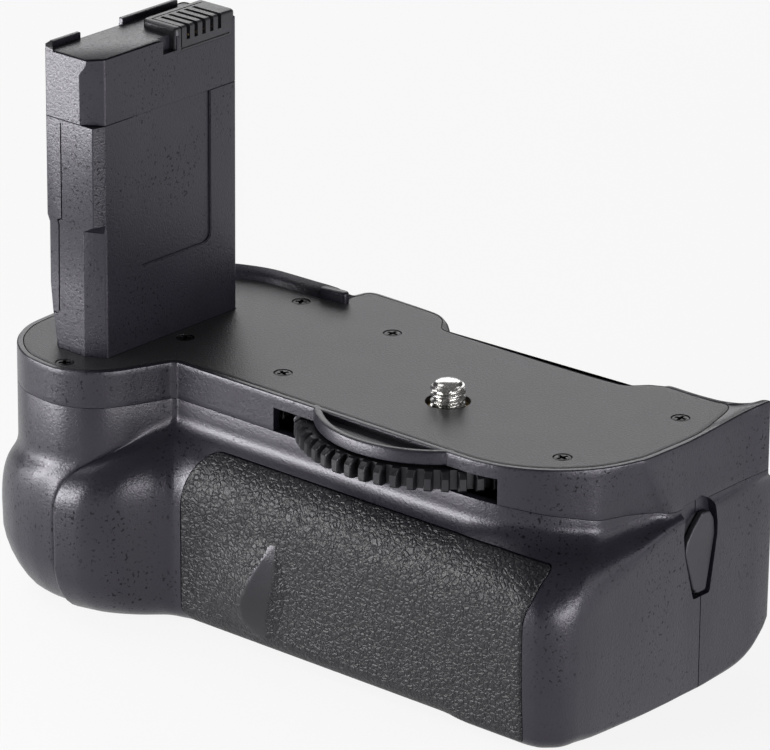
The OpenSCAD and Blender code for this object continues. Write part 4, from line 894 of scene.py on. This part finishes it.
def shells(lower, pocket):
    """Cuts the bowl into the front and rear shells, with their openings."""
    rear = lower.copy()
    rear.data = lower.data.copy()
    bpy.context.scene.collection.objects.link(rear)

    def jack_tool():
        return slab("jack", circle(JACK_R, 40), 36, PORT_FLOOR + 0.1, axes=TO_END, at=(0, SPLIT, JACK_Z))

    front = carve(lower, [block((-120, -80, -80), (80, SPLIT - SPLIT_GAP, 20))], "INTERSECT")
    carve(front, [pocket])
    heads = [slab("hole", circle(BASE_HEAD_R, 28, p), -60, BASE_HEAD_FLOOR) for p in BASE_SCREWS]
    carve(front, heads + [slab("hole", circle(TRIPOD_R), -60, -40)])
    shanks = [slab("hole", circle(BASE_SHANK_R, 20, p), BASE_HEAD_FLOOR - 0.1, -40) for p in BASE_SCREWS]
    carve(front, shanks + [port_tool()])
    carve(front, [jack_tool(), slab("hole", circle(RELEASE_R), -12, 12, axes=TO_HAND, at=RELEASE)])
    front.name = "front_shell"
    carve(rear, [block((-120, SPLIT + SPLIT_GAP, -80), (80, 80, 20))], "INTERSECT")
    carve(rear, [port_tool()])
    carve(rear, [jack_tool(), block(*DOORWAY)])
    rear.name = "rear_shell"
    return front, rear


def housing():
    stations = housing_stations()
    run = smooth_run(stations, STEPS)
    seat, out, inner = seat_edges(stations, run)
    lower = lower_housing(run)
    skin = BVHTree.FromObject(lower, bpy.context.evaluated_depsgraph_get())
    pitch = 0.42

    def rounded_edge(border):
        return 0.3 - 0.34 * np.exp(-border / 0.14)

    def clear_of_skin(border):
        return 1.5 + 0 * border

    rubber = rubber_panel("grip_rubber", skin, 0.0, pitch, rounded_edge, 0.75, 0.1)
    pocket = rubber_panel("pocket", skin, 0.13, 1.6, clear_of_skin, 0.85, 0.0)
    front, rear = shells(lower, pocket)

    piece(front, "housing", "front_shell", "moulded")
    piece(rear, "housing", "rear_shell", "moulded")
    piece(rubber, "housing", "grip_rubber", "rubber", angle=60)
    # Painted shade: the rest's short slope, turned away from the light, gets the darker, smoother wheel black
    rubber.data.materials.append(WHEEL_BLACK_AND_FACET_SHADE)
    for face in rubber.data.polygons:
        face.material_index = int(on_facet(face.center.x / MM, face.center.z / MM))
    piece(top_cover(seat, out, inner, run), "housing", "top_cover", "moulded")
    piece(top_plate(inner, unit(inner - seat)), "housing", "top_plate", "plate")


def build():
    housing()
    plate_screws = screw_heads("plate_screws", SCREWS, 1.62, -0.05)
    piece(plate_screws, "housing", "plate_screws", "dark_screw")
    base_screws = screw_heads("base_screws", BASE_SCREWS, 2.2, BASE + 0.2, True)
    piece(base_screws, "housing", "base_screws", "dark_screw")
    piece(plug_case(), "housing", "plug_case", "moulded")
    piece(plug_cap(), "housing", "plug_cap", "moulded")
    piece(contact_block(), "housing", "contact_block", "satin")
    piece(camera_screw(), "screw", "camera_screw", "nickel", angle=40)
    piece(thumb_wheel(), "screw", "thumb_wheel", "satin", WHEEL_BLACK_AND_FACET_SHADE)
    piece(port_cover(), "flap", "port_cover", "rubber", FLAP_RUBBER)
    piece(release_collar(), "housing", "shutter_collar", "satin")
    piece(release_lock(), "lock", "shutter_lock", "moulded")
    piece(release_button(), "button", "shutter_button", "satin")

    for part in frame["record"]["subparts"]:
        node = frame["nodes"][part["node"]]
        node.data.materials.clear()
        node.data.materials.append(LOOKS[part["material_slot"]])


# Stage

AZIMUTH, ELEVATION, ROLL = 41.0, 21.4, -0.45
EYE, LENS, SENSOR = (0.63743, -0.75026, 0.39063), 280.5, 36.0


def camera():
    """Stands where the photo was taken from."""
    azimuth, elevation, roll = (math.radians(v) for v in (AZIMUTH, ELEVATION, ROLL))
    back = Vector((math.sin(azimuth) * math.cos(elevation), -math.cos(azimuth) * math.cos(elevation),
                   math.sin(elevation)))
    right = (-back).cross(Vector((0, 0, 1))).normalized()
    down = (-back).cross(right)
    x_axis = right * math.cos(roll) + down * math.sin(roll)
    y_axis = -(down * math.cos(roll) - right * math.sin(roll))
    eye = bpy.data.cameras.new("camera")
    eye.sensor_width, eye.lens = SENSOR, LENS
    eye.clip_start, eye.clip_end = 0.05, 20
    obj = bpy.data.objects.new("camera", eye)
    turn = Matrix((x_axis, y_axis, back)).transposed().to_4x4()
    obj.matrix_world = Matrix.Translation(EYE) @ turn
    bpy.context.scene.collection.objects.link(obj)
    bpy.context.scene.camera = obj


def softbox(name, way, distance, width, height, power):
    lamp = bpy.data.lights.new(name, "AREA")
    lamp.shape, lamp.size, lamp.size_y, lamp.energy = "RECTANGLE", width, height, power
    obj = bpy.data.objects.new(name, lamp)
    way = Vector(way).normalized()
    obj.matrix_world = Matrix.Translation(way * distance) @ way.to_track_quat("Z", "Y").to_matrix().to_4x4()
    bpy.context.scene.collection.objects.link(obj)


def floor():
    """White table, wide enough to fill the picture from any side."""
    size, z, own_light = 4.0, BASE * MM - 0.0002, 0.86
    corners = [(-size, -size, z), (size, -size, z), (size, size, z), (-size, size, z)]
    mesh = bpy.data.meshes.new("floor")
    mesh.from_pydata(corners, [], [(0, 1, 2, 3)])
    obj = bpy.data.objects.new("floor", mesh)
    bpy.context.scene.collection.objects.link(obj)
    look = bpy.data.materials.new("floor_white")
    look.use_nodes = True
    nodes, links = look.node_tree.nodes, look.node_tree.links
    nodes.clear()
    paint = nodes.new("ShaderNodeBsdfDiffuse")
    paint.inputs["Color"].default_value = (0.9, 0.9, 0.9, 1)
    glow = nodes.new("ShaderNodeEmission")
    glow.inputs["Strength"].default_value = 1.0
    path = nodes.new("ShaderNodeLightPath")
    seen = path.outputs["Is Camera Ray"]
    for ray in ("Is Glossy Ray", "Is Transmission Ray"):
        add = nodes.new("ShaderNodeMath")
        add.operation, add.use_clamp = "ADD", True
        links.new(seen, add.inputs[0])
        links.new(path.outputs[ray], add.inputs[1])
        seen = add.outputs[0]
    share = nodes.new("ShaderNodeMath")
    share.operation = "MULTIPLY"
    share.inputs[1].default_value = own_light
    links.new(seen, share.inputs[0])
    blend = nodes.new("ShaderNodeMixShader")
    links.new(share.outputs[0], blend.inputs[0])
    links.new(paint.outputs[0], blend.inputs[1])
    links.new(glow.outputs[0], blend.inputs[2])
    links.new(blend.outputs[0], nodes.new("ShaderNodeOutputMaterial").inputs[0])
    mesh.materials.append(look)


def world():
    """Grey room: lighter overhead, dark round the middle heights."""
    room = bpy.data.worlds.new("room")
    room.use_nodes = True
    bpy.context.scene.world = room
    nodes, links = room.node_tree.nodes, room.node_tree.links
    split = nodes.new("ShaderNodeSeparateXYZ")
    links.new(nodes.new("ShaderNodeTexCoord").outputs["Generated"], split.inputs[0])
    tone = nodes.new("ShaderNodeMapRange")
    tone.inputs["From Min"].default_value, tone.inputs["From Max"].default_value = 0.3, 0.9
    tone.inputs["To Min"].default_value, tone.inputs["To Max"].default_value = 0.04, 0.16
    links.new(split.outputs["Z"], tone.inputs["Value"])
    links.new(tone.outputs[0], nodes["Background"].inputs["Color"])
    nodes["Background"].inputs["Strength"].default_value = 1.0


build()
camera()
softbox("overhead_left", (-0.62, -0.12, 0.78), 0.9, 0.5, 0.5, 1.6)
softbox("front_left", (-0.56, -0.76, 0.0), 0.35, 0.3, 0.09, 1.7)
softbox("front_left_high", (-0.61, -0.73, 0.30), 0.9, 0.5, 0.2, 0.7)
softbox("back_left", (-0.61, 0.70, 0.365), 0.9, 0.7, 0.4, 2.0)
softbox("right", (0.92, -0.38, 0.06), 0.7, 0.3, 0.16, 1.9)
softbox("right_low", (1.0, 0.02, 0.02), 0.4, 0.16, 0.12, 0.8)
softbox("right_back", (0.8, 0.55, 0.3), 0.9, 0.4, 0.4, 0.8)
floor()
world()
bpy.context.scene.view_settings.view_transform = "Standard"
